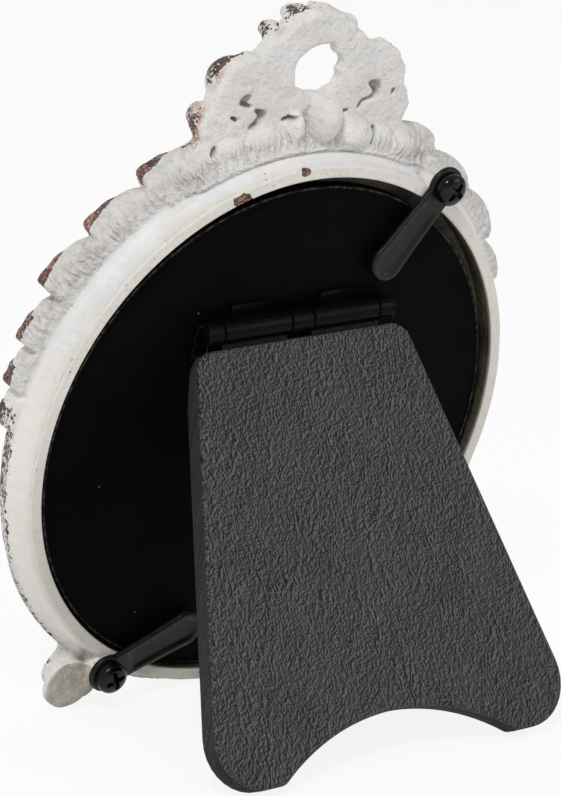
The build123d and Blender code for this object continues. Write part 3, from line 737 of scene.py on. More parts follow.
class Graph:
    """Small helper that adds nodes to a material and links them."""

    def __init__(self, name):
        self.material = bpy.data.materials.new(name)
        self.material.use_nodes = True
        self.tree = self.material.node_tree
        self.shader = self.tree.nodes["Principled BSDF"]

    def add(self, kind, **choices):
        """Adds a node with its choices, such as its operation. Sockets are filled by link and fill."""
        node = self.tree.nodes.new("ShaderNode" + kind)
        for key, value in choices.items():
            setattr(node, key, value)
        return node

    def link(self, source, node, socket):
        """Puts a link or a plain value on an input socket."""
        if isinstance(source, NodeSocket):
            self.tree.links.new(source, node.inputs[socket])
        else:
            node.inputs[socket].default_value = source

    def fill(self, node, sources):
        """Puts links or plain values on several input sockets."""
        for socket, source in sources.items():
            self.link(source, node, socket)
        return node

    def object_place(self):
        """Object coordinates, in metres."""
        return self.add("TexCoord").outputs["Object"]

    def mapped(self, spot, scale=(1, 1, 1), turn=(0, 0, 0), shift=(0, 0, 0)):
        """A place scaled, then turned, then moved."""
        sources = {"Vector": spot, "Scale": scale, "Rotation": turn, "Location": shift}
        return self.fill(self.add("Mapping"), sources).outputs["Vector"]

    def place(self, scale=(1, 1, 1), turn=(0, 0, 0), shift=(0, 0, 0)):
        """Object coordinates, scaled, turned and moved."""
        return self.mapped(self.object_place(), scale, turn, shift)

    def split(self, spot):
        """The three parts of a place."""
        return self.fill(self.add("SeparateXYZ"), {0: spot}).outputs

    def noise(self, spot, scale, detail=3.0, roughness=0.55, distortion=0.0):
        """Cloud noise, 0 to 1."""
        sources = {"Vector": spot, "Scale": scale, "Detail": detail, "Roughness": roughness,
                   "Distortion": distortion}
        return self.fill(self.add("TexNoise"), sources).outputs["Fac"]

    def cells(self, spot, scale):
        """Cell noise: the distance to the nearest seed."""
        return self.fill(self.add("TexVoronoi"), {"Vector": spot, "Scale": scale}).outputs["Distance"]

    def step(self, value, low, high, to_low=0.0, to_high=1.0):
        """S curve from to_low at low to to_high at high, level outside them; low may be the greater one."""
        sources = {"Value": value, "From Min": low, "From Max": high, "To Min": to_low, "To Max": to_high}
        return self.fill(self.add("MapRange", interpolation_type="SMOOTHSTEP"), sources).outputs["Result"]

    def math(self, operation, a, b=0.0, clamp=False):
        """One arithmetic step."""
        return self.fill(self.add("Math", operation=operation, use_clamp=clamp), {0: a, 1: b}).outputs[0]

    def plus(self, a, b):
        """The sum of two values."""
        return self.math("ADD", a, b)

    def times(self, a, b, clamp=False):
        """The product of two values."""
        return self.math("MULTIPLY", a, b, clamp)

    def swing(self, value, width):
        """A value from 0 to 1 as a swing about zero: its distance from a half, times the width."""
        return self.times(self.math("SUBTRACT", value, 0.5), width)

    def mix(self, share, a, b):
        """Two colours mixed by a share."""
        return self.fill(self.add("Mix", data_type="RGBA"), {0: share, 6: opaque(a), 7: opaque(b)}).outputs[2]

    def attribute(self, name):
        """A value stored on the points of the mesh."""
        return self.add("Attribute", attribute_name=name).outputs["Fac"]

    def within(self, name, share, clamp=False):
        """A share that counts only where the mesh's stored value is high."""
        return self.times(self.attribute(name), share, clamp)

    def bump(self, height, strength, distance, under=None):
        """Relief from a height, stacked on another one if given."""
        node = self.fill(self.add("Bump"), {"Height": height, "Strength": strength, "Distance": distance})
        if under is not None:
            self.link(under, node, "Normal")
        return node.outputs["Normal"]

    def finish(self, colour, roughness, normal=None, **plain):
        """Puts colour, roughness and relief on the shader, and plain values on its own sockets."""
        self.fill(self.shader, {"Base Color": opaque(colour), "Roughness": roughness})
        if normal is not None:
            self.link(normal, self.shader, "Normal")
        for key, value in plain.items():
            self.shader.inputs[key.replace("_", " ")].default_value = value
        return self.material


def antique_paint(settings):
    """Off-white paint over a dark brown and copper ground, by the masks of add_paint_masks: worn through
    on the outer edges and chipped (wear, chip), copper-toned beside them (blush), painted shade with dust
    in the hollows and in the valleys of the flutes (hollow_shade, belt), darker on the backs of the
    leaves (leafy), creamy on the rim (rim), smooth and cooler on the collar and yellowed low down (collar,
    aged), rubbed on the feet (bare) and dark in the bore (bore), with fine pits from the casting."""
    g = Graph("antique_paint")
    spot = g.place()
    cloud = g.noise(spot, 90.0, 4.0)
    mottle = g.noise(spot, 240.0, 4.0, 0.65)
    fine = g.noise(spot, 700.0, 4.0, 0.65)
    speckle = g.noise(spot, 1700.0, 3.0, 0.6)
    grain = g.noise(spot, 2600.0, 3.0, 0.6)

    # Fine flutes round the ring: a cosine of the angle about the opening, bent by a noise
    upright = g.mapped(g.object_place(), turn=(LEAN, 0, 0), shift=tuple(-turn_x(CENTRE, LEAN)))
    parts = g.split(upright)
    turn = g.math("ARCTAN2", parts["X"], parts["Z"])
    phase = g.plus(g.times(turn, 260.0), g.times(g.noise(spot, 190.0, 3.0), 22.0))
    flute = g.plus(g.times(g.math("COSINE", phase), 0.5), 0.5)
    belt = g.within("belt", g.step(g.noise(spot, 130.0, 3.0), 0.36, 0.58, 0.25, 1.0))
    flute = g.times(flute, belt)

    # Paint of the relief: warm and mottled
    white = g.mix(g.step(cloud, 0.36, 0.66), settings.paint_shade, settings.paint)
    white = g.mix(g.step(mottle, 0.42, 0.62, 0.1, 1.0), white, settings.warm)
    white = g.mix(g.step(fine, 0.55, 0.72, 0.0, 0.30), white, settings.dust_and_shade)

    # Paint of the collar: cooler and brushed, yellowed and speckled low down
    strokes = g.noise(g.mapped(upright, (1.0, 1.0, 3.2), (0, 0.7, 0)), 240.0, 4.0, 0.7, 0.6)
    smooth = g.mix(g.step(strokes, 0.35, 0.65), settings.cool, settings.paint)
    smooth = g.mix(g.step(cloud, 0.44, 0.64, 0.0, 0.5), smooth, settings.warm)
    smooth = g.mix(g.within("aged", g.step(strokes, 0.3, 0.7, 0.6, 1.0)), smooth, settings.ivory)
    smooth = g.mix(g.within("aged", g.step(speckle, 0.60, 0.70, 0.0, 0.3)), smooth, settings.dust_and_shade)
    white = g.mix(g.attribute("collar"), white, smooth)

    # Dust, tints and painted shade: darker leaves, painted shade with dust in the valleys between the flutes
    # and in the hollows, cream rim, rubbed lobes and small specks
    white = g.mix(g.within("leafy", g.step(fine, 0.35, 0.65, 0.15, 0.5)), white, settings.dust_and_shade)
    # Painted shade, with dust, in the valleys between the flutes
    valley_shade = g.times(g.math("SUBTRACT", belt, flute), 0.36, True)
    white = g.mix(valley_shade, white, settings.dust_and_shade)
    white = g.mix(g.within("rim", g.step(mottle, 0.36, 0.62, 0.45, 0.95)), white, settings.rim_cream)
    white = g.mix(g.within("rim", g.step(speckle, 0.60, 0.68, 0.0, 0.6)), white, settings.dust_and_shade)
    white = g.mix(g.within("blush", g.step(speckle, 0.38, 0.52), True), white, settings.blush)
    # Painted shade, with dust, in the hollows: darker where the skin is enclosed by solid
    white = g.mix(g.within("hollow_shade", g.step(fine, 0.3, 0.7, 0.45, 1.0), True), white, settings.dust_and_shade)
    specks = g.times(g.step(g.cells(spot, 520.0), 0.16, 0.07), g.step(g.noise(spot, 120.0, 3.0), 0.56, 0.64))
    white = g.mix(g.times(specks, 0.85), white, settings.speck)

    # Worn edges and chips: ragged, with a dark border and specks inside
    ragged = g.attribute("wear")
    for value, width in ((fine, 0.75), (speckle, 0.85), (cloud, 0.4)):
        ragged = g.plus(ragged, g.swing(value, width))
    worn = g.step(ragged, 0.47, 0.53)
    chips = g.step(g.plus(g.attribute("chip"), g.swing(fine, 0.9)), 0.47, 0.53)
    worn = g.math("MAXIMUM", worn, chips)
    tone = g.noise(spot, 520.0, 4.0, 0.7)
    ground = g.mix(g.step(tone, 0.47, 0.57), settings.brown, settings.copper)
    ground = g.mix(g.step(speckle, 0.52, 0.60), ground, settings.dark)
    ground = g.mix(g.step(grain, 0.60, 0.66, 0.0, 0.7), ground, settings.paint_shade)
    border = g.step(g.math("MAXIMUM", ragged, g.attribute("chip")), 0.78, 0.56, 0.0, 0.75)
    ground = g.mix(border, ground, settings.dark)
    colour = g.mix(worn, white, ground)

    # Rubbed faces of the feet, and the dark bore
    bare = g.mix(g.step(fine, 0.35, 0.65), settings.bare, shaded(settings.bare, 1.35))
    bare = g.mix(g.step(tone, 0.58, 0.68, 0.0, 0.5), bare, settings.dust_and_shade)
    colour = g.mix(g.step(g.plus(g.attribute("bare"), g.swing(fine, 0.5)), 0.35, 0.6), colour, bare)
    colour = g.mix(g.attribute("bore"), colour, g.mix(g.step(cloud, 0.35, 0.65), BORE_DARK, BORE_PALE))

    # Relief: pits and lumps, calmer on collar and rim, then brush marks, flutes and the step of the paint
    calm = g.times(g.math("MAXIMUM", g.attribute("collar"), g.attribute("rim")), 0.75)
    calm = g.math("SUBTRACT", 1.0, calm)
    normal = g.bump(grain, 0.35, 0.00012)
    for height, strength, distance in (
        (g.times(fine, calm), 0.8, 0.0006),
        (g.times(mottle, calm), 0.8, 0.0014),
        (strokes, 0.25, 0.0003),
        (flute, 0.8, 0.0005),
        (worn, 0.5, -0.0001),
    ):
        normal = g.bump(height, strength, distance, normal)
    return g.finish(colour, g.step(fine, 0.2, 0.8, 0.42, 0.60), normal)


def wrinkles(g, spot):
    """Height of the wrinkled fibre paper, 0 to 1: a fine grain drawn out a little along the leg, less two
    sets of short creases, each where a drawn-out noise crosses its middle."""
    drawn = g.mapped(spot, scale=(1.0, 1.0, 0.92))
    coarse = g.times(g.noise(drawn, 1150.0, 2.0), 0.35)
    height = g.plus(g.times(g.noise(drawn, 2300.0, 3.0, 0.6), 0.55), coarse)
    for tilt, stretch, size in ((0.10, 0.30, 330.0), (-0.38, 0.36, 280.0)):
        thin = g.mapped(spot, (1.0, 1.0, stretch), (0, tilt, 0))
        wander = g.noise(thin, size, 3.0, 0.5, 1.2)
        line = g.step(g.math("ABSOLUTE", g.math("SUBTRACT", wander, 0.5)), 0.034, 0.006)
        here = g.step(g.noise(spot, size * 0.8, 3.0), 0.52, 0.58)
        height = g.math("SUBTRACT", height, g.times(g.times(line, here), 0.34))
    return height


def fibre_face(settings):
    """Charcoal wrinkled paper with painted light: slopes that face one side are painted paler as a
    highlight and those that face the other painted darker as shade, from the difference between the
    height here and about 0.22 mm away."""
    g = Graph("fibre_face")
    along_leg = (-LEG_SWING, 0, 0)
    spot = g.place(turn=along_leg)
    beside = g.place(turn=along_leg, shift=(-0.00019, 0.0, -0.00011))
    height = wrinkles(g, spot)
    lit_slope = g.math("SUBTRACT", wrinkles(g, beside), height)
    cloud = g.noise(spot, 110.0, 4.0, 0.6)
    colour = g.mix(g.step(cloud, 0.3, 0.7), settings.face_dark, settings.face)
    # Painted shade on wrinkle slopes facing away from the light, painted highlight on those facing it
    colour = g.mix(g.step(lit_slope, 0.0, -0.075, 0.0, 0.95), colour, shaded(settings.face_dark, 0.15))
    colour = g.mix(g.step(lit_slope, 0.0, 0.085, 0.0, 0.95), colour, settings.fleck_and_highlight)
    rough = g.step(cloud, 0.3, 0.7, 0.80, 0.64)
    return g.finish(colour, rough, g.bump(height, 0.8, 0.0005), Specular_IOR_Level=0.3)


def felted_board(settings):
    """Dark cut edge and inner face of the leg's board: short fibres and thin plies."""
    g = Graph("felted_board")
    along_leg = (-LEG_SWING, 0, 0)
    spot = g.place(turn=along_leg)
    fuzz = g.noise(spot, 2600.0, 4.0, 0.7)
    cloud = g.noise(spot, 220.0, 3.0)
    layer = g.noise(g.place((60, 2600, 60), along_leg), 1.0, 2.0)
    colour = g.mix(cloud, settings.board, shaded(settings.board, 1.9))
    colour = g.mix(g.step(fuzz, 0.52, 0.66, 0.0, 0.55), colour, settings.fleck_and_highlight)
    colour = g.mix(g.step(layer, 0.40, 0.62, 0.0, 0.5), colour, shaded(settings.board, 0.4))
    return g.finish(colour, 0.92, g.bump(fuzz, 0.6, 0.00018), Specular_IOR_Level=0.25)


def panel_black(settings):
    """Satin black back panel: a faint grain, faint rub marks, a few specks of dust and a painted highlight
    line at its edge (the mask edge), where its rear bevel catches the light."""
    g = Graph("panel_black")
    spot = g.place()
    cloud = g.noise(spot, 55.0, 4.0, 0.6)
    grain = g.noise(spot, 1900.0, 3.0)
    marks = g.noise(g.place((1.0, 1.0, 9.0), (0, 0.5, 0)), 160.0, 4.0, 0.7)
    colour = g.mix(g.step(cloud, 0.3, 0.7), settings.panel, shaded(settings.panel, 1.7))
    lint = g.times(g.step(g.cells(spot, 300.0), 0.07, 0.03), g.step(g.noise(spot, 75.0, 3.0), 0.54, 0.60))
    colour = g.mix(g.times(lint, 0.55), colour, LINT)
    # Painted highlight: a paler broken line round the rear bevel (mask edge)
    edge_highlight = g.within("edge", g.step(g.noise(spot, 900.0, 3.0), 0.44, 0.60, 0.2, 1.0))
    colour = g.mix(edge_highlight, colour, settings.rubbed)
    rough = g.step(marks, 0.3, 0.75, 0.42, 0.56)
    return g.finish(colour, rough, g.bump(grain, 0.12, 0.00005), Specular_IOR_Level=0.02)


def pressed_black(settings):
    """Satin black coat on pressed sheet: fine texture, greyer where it is handled."""
    g = Graph("clip_coat")
    spot = g.place()
    cloud = g.noise(spot, 260.0, 4.0)
    fine = g.noise(spot, 2400.0, 3.0, 0.6)
    colour = g.mix(g.step(cloud, 0.35, 0.68), settings.coat, shaded(settings.coat, 2.0))
    rough = g.step(cloud, 0.3, 0.7, 0.34, 0.46)
    return g.finish(colour, rough, g.bump(fine, 0.25, 0.00006), Specular_IOR_Level=0.27)


def gloss_black(settings, name, share, level):
    """Glossy black enamel with a light orange peel. The share sets how much bare dark metal shows through
    rubbed spots, and the level how strongly the enamel reflects."""
    g = Graph(name)
    spot = g.place()
    cloud = g.noise(spot, 420.0, 3.0)
    peel = g.noise(spot, 1300.0, 2.0)
    rubbed = g.step(g.noise(spot, 1900.0, 4.0, 0.7), 0.66, 0.74, 0.0, share)
    colour = g.mix(cloud, settings.enamel, shaded(settings.enamel, 1.8))
    colour = g.mix(rubbed, colour, BARE_METAL)
    polished = g.step(g.noise(spot, 170.0, 3.0), 0.44, 0.60, 0.30, 0.07)
    return g.finish(colour, polished, g.bump(peel, 0.12, 0.00004), Specular_IOR_Level=level)


def clear_glass():
    """Clear glass with a faint greenish body and faint smears."""
    g = Graph("clear_glass")
    smear = g.noise(g.place(), 45.0, 4.0, 0.6, 1.0)
    rough = g.step(smear, 0.45, 0.75, 0.0, 0.03)
    return g.finish(GLASS_TINT, rough, None, Transmission_Weight=1.0, IOR=1.5)


def print_paper(settings):
    """Blank ivory picture card with a soft toned edge and a thin ruled ring, on semi-matt paper."""
    g = Graph("print_paper")
    radius = g.split(g.add("UVMap").outputs["UV"])["X"]
    spot = g.place()
    tooth = g.noise(spot, 1800.0, 3.0)
    cloud = g.noise(spot, 26.0, 3.0)
    colour = g.mix(g.step(radius, 0.35, 1.0), settings.paper, settings.paper_edge)
    colour = g.mix(g.step(cloud, 0.35, 0.7, 0.0, 0.25), colour, settings.paper_edge)
    ring = g.times(g.step(radius, 0.845, 0.850), g.step(radius, 0.862, 0.857))
    colour = g.mix(g.times(ring, 0.6), colour, settings.rule)
    return g.finish(colour, 0.45, g.bump(tooth, 0.1, 0.00004))


def grey_card():
    """Plain grey card with recycled flecks."""
    g = Graph("grey_card")
    spot = g.place()
    cloud = g.noise(spot, 180.0, 4.0)
    flecks = g.step(g.noise(spot, 1500.0, 3.0), 0.60, 0.70, 0.0, 0.6)
    colour = g.mix(flecks, g.mix(cloud, CARD_DARK, CARD_PALE), CARD_FLECK)
    return g.finish(colour, 0.9, g.bump(flecks, 0.2, 0.00008))


def wire_steel():
    """Darkened steel wire with drawing marks along it."""
    g = Graph("wire_steel")
    marks = g.noise(g.place(scale=(1.0, 14.0, 14.0)), 260.0, 4.0, 0.6)
    colour = g.mix(marks, WIRE_DARK, WIRE_PALE)
    return g.finish(colour, g.step(marks, 0.3, 0.7, 0.28, 0.42), g.bump(marks, 0.1, 0.00004), Metallic=1.0)


# Pieces

def add_mask(mesh, name, values):
    """Stores one value for each point of the mesh, for its material to read."""
    attribute = mesh.attributes.new(name, "FLOAT", "POINT")
    attribute.data.foreach_set("value", np.clip(values, 0, 1).astype(np.float32))


# Skin of a foot's flat pad: middle (x, z) and radius
PAD_PLACE = (35.8, -47.8)
PAD_RADIUS = 4.85
# Worn spots of the crest's outline: middle (x, z), radius and amount, then the middle of its worn outer tuft
WORN_SPOTS = ((19.0, 70.0, 6.5, 0.26), (10.5, 75.5, 3.8, 0.30), (4.0, 78.5, 3.0, 0.22),
              (-19.0, 69.0, 5.0, 0.10))
WORN_TUFT = (23.0, 59.0)


def wear_mask(x, y, z, rho, angle):
    """How far the paint is worn: the outer walls of the leaves from a line behind their fronts on, the
    wall below them, the crest's outline in spots that grow at its lobes, its outer tuft, and the front
    edge of the bead. The side with x below 0 is worn less."""
    past, share, _ = leaf_shape(angle, rho, y)
    less = np.where(x > 0, 1.0, 0.42)
    shown = -10.2 + 2.0 * smoothstep(0.05, 0.85, share)
    ahead = smoothstep(shown, shown - 0.7, y)
    sides = smoothstep(-0.9, -0.35, past) * smoothstep(20, 23, angle) * smoothstep(88, 78, angle)
    wear = sides * ahead * smoothstep(0.10, 0.26, share) * less
    wall = smoothstep(-1.5, -0.3, past) * smoothstep(74, 84, angle) * smoothstep(158, 136, angle)
    wall = wall * smoothstep(-4.2, -5.2, y)
    wear = np.maximum(wear, 0.49 * wall * less)
    outline, relief = crest_outline(x, z)
    edge = smoothstep(-1.7, -0.3, np.maximum(relief, outline)) * smoothstep(-8.3, -9.2, y)
    edge = edge * smoothstep(50, 56, z)
    spots = 0.36 + 0.16 * lumps(x, z, 3.0, 11)
    for sx, sz, wide, amount in WORN_SPOTS:
        spots = spots + amount * bump(np.hypot(x - sx, z - sz), 0, wide)
    wear = np.maximum(wear, edge * spots * np.where(x > -6, 1.0, 0.85))
    tuft = bump(np.hypot(x - WORN_TUFT[0], z - WORN_TUFT[1]), 0, 5.5) * smoothstep(-7.0, -8.4, y)
    wear = np.maximum(wear, 0.62 * tuft)
    return np.maximum(wear, 0.33 * smoothstep(-11.8, -13.6, y) * smoothstep(45.5, 47.0, rho))


def add_paint_masks(mesh, upright):
    """Where the paint differs, from the place in the upright frame. wear: worn edges. rim: the yellowed
    rear rim. bore: the dark bore. chip: two chips on the rim. bare: the rubbed feet. belt: the fine
    flutes round the ring, with painted shade in their valleys, and the pleats below the crest. blush:
    copper tone beside the worn lobes. leafy: darker backs of the leaves. aged: rises from the crest
    down. collar: the smooth band round the rim."""
    x, y, z = upright.T
    rho = np.hypot(x, z)
    angle = np.degrees(np.arctan2(np.abs(x), z))
    add_mask(mesh, "wear", wear_mask(x, y, z, rho, angle))
    add_mask(mesh, "rim", smoothstep(-1.4, -0.3, y) * smoothstep(53.2, 52.2, rho))
    bore = smoothstep(50.30, 50.08, rho) * smoothstep(-0.10, -0.40, y)
    add_mask(mesh, "bore", bore * smoothstep(-7.6, -7.0, y))
    chips = bump(np.hypot((x - 16.6) / 1.5, z - 47.9), 0, 2.6)
    chips = chips + bump(np.hypot(x - 3.4, (z - 51.7) * 1.2), 0, 2.0)
    add_mask(mesh, "chip", chips * smoothstep(-2.0, -0.5, y))
    pad = np.hypot((np.abs(x) - PAD_PLACE[0]) / FOOT_STRETCH, z - PAD_PLACE[1])
    add_mask(mesh, "bare", smoothstep(4.95, 4.7, pad) * smoothstep(-1.5, -1.15, y))
    crowned = smoothstep(30, 24, angle)
    lift = y + COLLAR_DEPTH + CREST_SLOPE * np.clip(rho - COLLAR_RADIUS, 0, 9)
    pleats = smoothstep(53.7, 55.0, rho) * smoothstep(59.0, 56.0, rho) * crowned * smoothstep(2.6, 1.4, lift)
    belt = bump(rho, 56.9, 2.8) * smoothstep(24, 30, angle) * smoothstep(86, 60, angle) + pleats
    add_mask(mesh, "belt", belt * smoothstep(-9.5, -8.5, y))
    blush = bump(np.hypot(x - 22.6, z - 58.6), 0, 6.5) + 0.5 * bump(np.hypot(x - 20.0, z - 68.0), 0, 4.0)
    add_mask(mesh, "blush", 1.3 * blush * smoothstep(-6.8, -8.2, y))
    leafy = smoothstep(54.4, 56.2, rho) * smoothstep(20, 27, angle) * smoothstep(92, 84, angle)
    add_mask(mesh, "leafy", leafy * smoothstep(-10.5, -9.5, y))
    add_mask(mesh, "aged", smoothstep(50, 92, angle))
    collar = smoothstep(55.4 - 1.6 * crowned, 54.0 - 0.8 * crowned, rho) * smoothstep(51.8, 52.6, rho)
    add_mask(mesh, "collar", collar * smoothstep(-7.0, -6.0, y))


def rear_ring(segments=720):
    """Rear rim, bore and collar: a closed section turned about the opening, its radius and depth varied
    by low sines like a hand-finished casting."""
    a = np.linspace(0, np.pi / 2, 5)
    rim_edge = OPENING_RADIUS + RIM_WIDTH
    inner = np.stack([OPENING_RADIUS + 0.28 - 0.28 * np.cos(a), -0.28 + 0.28 * np.sin(a)], 1)
    outer = np.stack([rim_edge - 0.35 + 0.35 * np.sin(a), -0.35 + 0.35 * np.cos(a)], 1)
    flat = np.stack([np.linspace(50.6, 51.7, 5), np.zeros(5)], 1)
    down = np.array([[52.38, -0.9], [52.62, -2.0], [52.9, -3.0], [53.25, -3.9],
                     [53.7, -4.5], [54.4, -5.1], [53.6, -6.0], [51.5, -7.1]])
    bore = np.stack([np.full(6, OPENING_RADIUS), np.linspace(-7.15, -0.9, 6)], 1)
    profile = np.concatenate([bore, inner, flat, outer, down])
    t = np.linspace(0, 2 * np.pi, segments, endpoint=False)
    r = np.repeat(profile[:, :1], segments, 1)
    y = np.repeat(profile[:, 1:], segments, 1)
    free = smoothstep(50.2, 51.0, r)
    r = r + free * (0.05 * np.sin(7 * t + 1.0) + 0.03 * np.sin(19 * t) + 0.025 * np.sin(43 * t + 2.0))
    y = y - 0.03 * free * (1 + np.sin(11 * t + 0.4)) - 0.02 * free * (1 + np.sin(31 * t + 1.1))
    points = np.stack([r * np.sin(t), y, r * np.cos(t)], -1).reshape(-1, 3)
    points[:, 2] = np.maximum(points[:, 2], floor_line(points[:, 1]) + 0.03)
    return points, grid_faces(len(profile), segments, closed_rows=True, closed_columns=True)


def foot_pad(side, segments=96):
    """Round flat foot: turned about its own middle, the radius varied by three, five and eight waves."""
    a = np.linspace(0, np.pi / 2, 5)
    edge = np.stack([PAD_RADIUS - 0.45 + 0.45 * np.sin(a), -1.45 + 0.45 * np.cos(a)], 1)
    face = [[0, -1.0], [2.0, -1.0], [3.6, -1.0]]
    root = [[PAD_RADIUS, -2.2], [4.6, -2.7], [3.8, -2.9], [0, -2.9]]
    points, faces = lathe(np.concatenate([face, edge, root]), segments)
    t = np.arctan2(points[:, 2], points[:, 0])
    swell = 1 - 0.02 * (1 + np.sin(3 * t + 1.2)) - 0.012 * (1 + np.sin(5 * t))
    swell = swell - 0.006 * (1 + np.sin(8 * t + 2.0))
    points[:, [0, 2]] *= swell[:, None] * (FOOT_STRETCH, 1.0)
    dents = 0.04 * (1 + np.sin(1.7 * points[:, 0] + 0.9 * points[:, 2]))
    points[:, 1] -= dents * (points[:, 1] > -1.3)
    return points + (side * PAD_PLACE[0], 0, PAD_PLACE[1]), faces


def thin_out(piece, triangles, context):
    """Gives the piece a mesh of at most MOST_TRIANGLES and returns it."""
    thin = piece.modifiers.new("thin", "DECIMATE")
    thin.ratio = min(1.0, MOST_TRIANGLES / triangles)
    graph = context.evaluated_depsgraph_get()
    mesh = bpy.data.meshes.new_from_object(piece.evaluated_get(graph))
    piece.modifiers.clear()
    piece.data = mesh
    return mesh


def fullness(field, upright, low, step):
    """Share of solid round each point, the mean of a near and a wide neighbourhood: high in hollows, low on
    edges."""
    near = wide = (field < 0).astype(np.float32)
    for axis in range(3):
        near = box_blur(near, max(1, round(0.8 / step)), axis)
        wide = box_blur(wide, max(2, round(1.8 / step)), axis)
    return 0.5 * sample(near, upright, low, step) + 0.5 * sample(wide, upright, low, step)


class PHOTOFRAME_OT_casting(Operator):
    """Builds the cast ring with its leaves, crest and feet as one skin"""
    bl_idname = "photo_frame.casting"
    bl_label = "Casting"

    def execute(self, context):
        paint = antique_paint(context.scene.photo_frame_casting)
        step = CELL
        low = np.array(LATTICE_LOW)
        count = np.ceil(np.array(LATTICE_SIZE) / step).astype(int)
        lattice = np.ix_(*(low[k] + step * np.arange(count[k]) for k in range(3)))
        field = casting_field(*lattice)
        points, quads = net_skin(field, low, step)
        piece = make_piece("casting", stand(points), quads, "frame", paint)
        mesh = thin_out(piece, 2 * len(quads), context)
        upright = upright_places(mesh)
        # Mask of painted shade, with dust, where the skin is enclosed by solid
        add_mask(mesh, "hollow_shade", smoothstep(0.53, 0.74, fullness(field, upright, low, step)))
        add_paint_masks(mesh, upright)
        shade_smooth(mesh)
        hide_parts("frame_casting")
        shapes = {"rear_ring": rear_ring(), "left_pad": foot_pad(1), "right_pad": foot_pad(-1)}
        for name, (points, faces) in shapes.items():
            part = make_piece(name, stand(points), faces, "frame", paint)
            turn_right(part)
            upright = upright_places(part.data)
            add_mask(part.data, "hollow_shade", np.zeros(len(upright)))
            add_paint_masks(part.data, upright)
            soften(part, 48)
            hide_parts("frame_casting")
        return {"FINISHED"}


def rest_height(radius):
    """Height of a disc's middle when the disc rests on the bottom of the opening."""
    return radius + RUNNING_GAP - OPENING_RADIUS


def bevelled_rear(profile, radius, back):
    """A disc's section with a shallow turned bevel inside the rounding of its rear edge."""
    bevel = [[0, back], [radius - 2.4, back], [radius - 1.75, back],
             [radius - 1.5, back - 0.03], [radius - 0.62, back - 0.22]]
    return np.concatenate([bevel, profile[3:]])


def ringed(profile, radius):
    """A disc's section with three more rings on each flat face, so that its UV can follow the radius."""
    at = radius * np.array([0.25, 0.5, 0.75])
    rear = np.stack([at, np.full(3, profile[0, 1])], 1)
    front = np.stack([at[::-1], np.full(3, profile[-1, 1])], 1)
    return np.concatenate([profile[:1], rear, profile[1:-1], front, profile[-1:]])


def add_radius_map(mesh, shares):
    """UV whose first value is each point's distance from the middle as a share of the radius."""
    layer = mesh.uv_layers.new(name="radius")
    corner = np.empty(len(mesh.loops), int)
    mesh.loops.foreach_get("vertex_index", corner)
    layer.data.foreach_set("uv", np.stack([shares[corner], np.zeros(len(corner))], 1).ravel())


class PHOTOFRAME_OT_stack(Operator):
    """Builds the back panel, the picture card and the glass as turned discs"""
    bl_idname = "photo_frame.stack"
    bl_label = "Panel, picture and glass"

    def execute(self, context):
        black = panel_black(context.scene.photo_frame_black)
        paper = print_paper(context.scene.photo_frame_paper)
        # Piece, node, radius, depth of rear and front face, rounding, slot and material
        layers = (
            ("panel", "back_panel", PANEL_RADIUS, PANEL_BACK, 4.2, 0.55, "panel_black", black),
            ("card", "backing_card", 48.6, 4.22, 4.88, 0.12, "grey_card", grey_card()),
            ("print", "photo_print", 48.4, 4.92, 5.18, 0.08, "print_paper", paper),
            ("glass", "glass_pane", 48.6, 5.23, 7.18, 0.35, "clear_glass", clear_glass()),
        )
        for name, node, radius, back, front, edge, slot, material in layers:
            profile = rounded_profile(radius, -back, -front, edge)
            if name == "panel":
                profile = bevelled_rear(profile, radius, -back)
            if name == "print":
                profile = ringed(profile, radius)
            points, faces = lathe(profile, DISC_SEGMENTS)
            out = np.hypot(points[:, 0], points[:, 2])
            points[:, 2] += rest_height(radius)
            piece = make_piece(name, stand(points), faces, "frame", material)
            if name == "print":
                add_radius_map(piece.data, out / radius)
            if name == "panel":
                # Mask for the painted highlight line round the panel's rear bevel
                line = (out > radius - 0.5) * (out < radius - 0.05) * (points[:, 1] > -2.0)
                add_mask(piece.data, "edge", line)
            soften(piece)
            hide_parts(node)
        return {"FINISHED"}


def strip(path, x_low, x_high, edge=0.12):
    """Bent sheet: the (y, z) path is given half the sheet's thickness to both sides and carried from x_low to
    x_high, with the ends drawn in by edge so that they are not sharp."""
    path = np.asarray(path, float)
    ahead = np.gradient(path, axis=0)
    ahead /= np.linalg.norm(ahead, axis=1)[:, None]
    normal = np.stack([-ahead[:, 1], ahead[:, 0]], 1) * SHEET / 2
    ends = ahead[[-1, 0]] * SHEET * 0.28 * np.array([[1], [-1]])
    last, first = path[-1:] + ends[:1], path[:1] + ends[1:]
    loop = np.concatenate([path + normal, last + normal[-1:] * 0.45, last - normal[-1:] * 0.45,
                           (path - normal)[::-1], first - normal[:1] * 0.45, first + normal[:1] * 0.45])
    thin = np.concatenate([path + normal * 0.45, path[-1:], path[-1:],
                           (path - normal * 0.45)[::-1], path[:1], path[:1]])
    sections = ((x_low, thin), (x_low + edge, loop), (x_high - edge, loop), (x_high, thin))
    points = np.concatenate([np.insert(section, 0, x, axis=1) for x, section in sections])
    n, m = len(loop), len(path)
    left = np.arange(m)
    right = (n - 3) - left
    caps = np.stack([left[:-1], left[1:], right[1:], right[:-1]], 1)
    caps = np.concatenate([caps, [[m - 1, m, m + 1, m + 2]], [[n - 3, n - 2, n - 1, 0]]])
    faces = grid_faces(len(sections), n, closed_columns=True).tolist()
    return points, faces + caps.tolist() + (caps[:, ::-1] + (len(sections) - 1) * n).tolist()


def curl(middle, first, last, steps=26):
    """Arc of the rolled knuckle about the pin: (y, z) at its radius from the middle, from the first angle
    to the last."""
    t = np.radians(np.linspace(first, last, steps))
    return np.stack([middle[0] + KNUCKLE_RADIUS * np.cos(t), middle[1] + KNUCKLE_RADIUS * np.sin(t)], 1)


def upright_sheet(y, low, high, count):
    """Straight part of a sheet's (y, z) path: at one depth, from a low to a high point."""
    return np.stack([np.full(count, y), np.linspace(low, high, count)], 1)


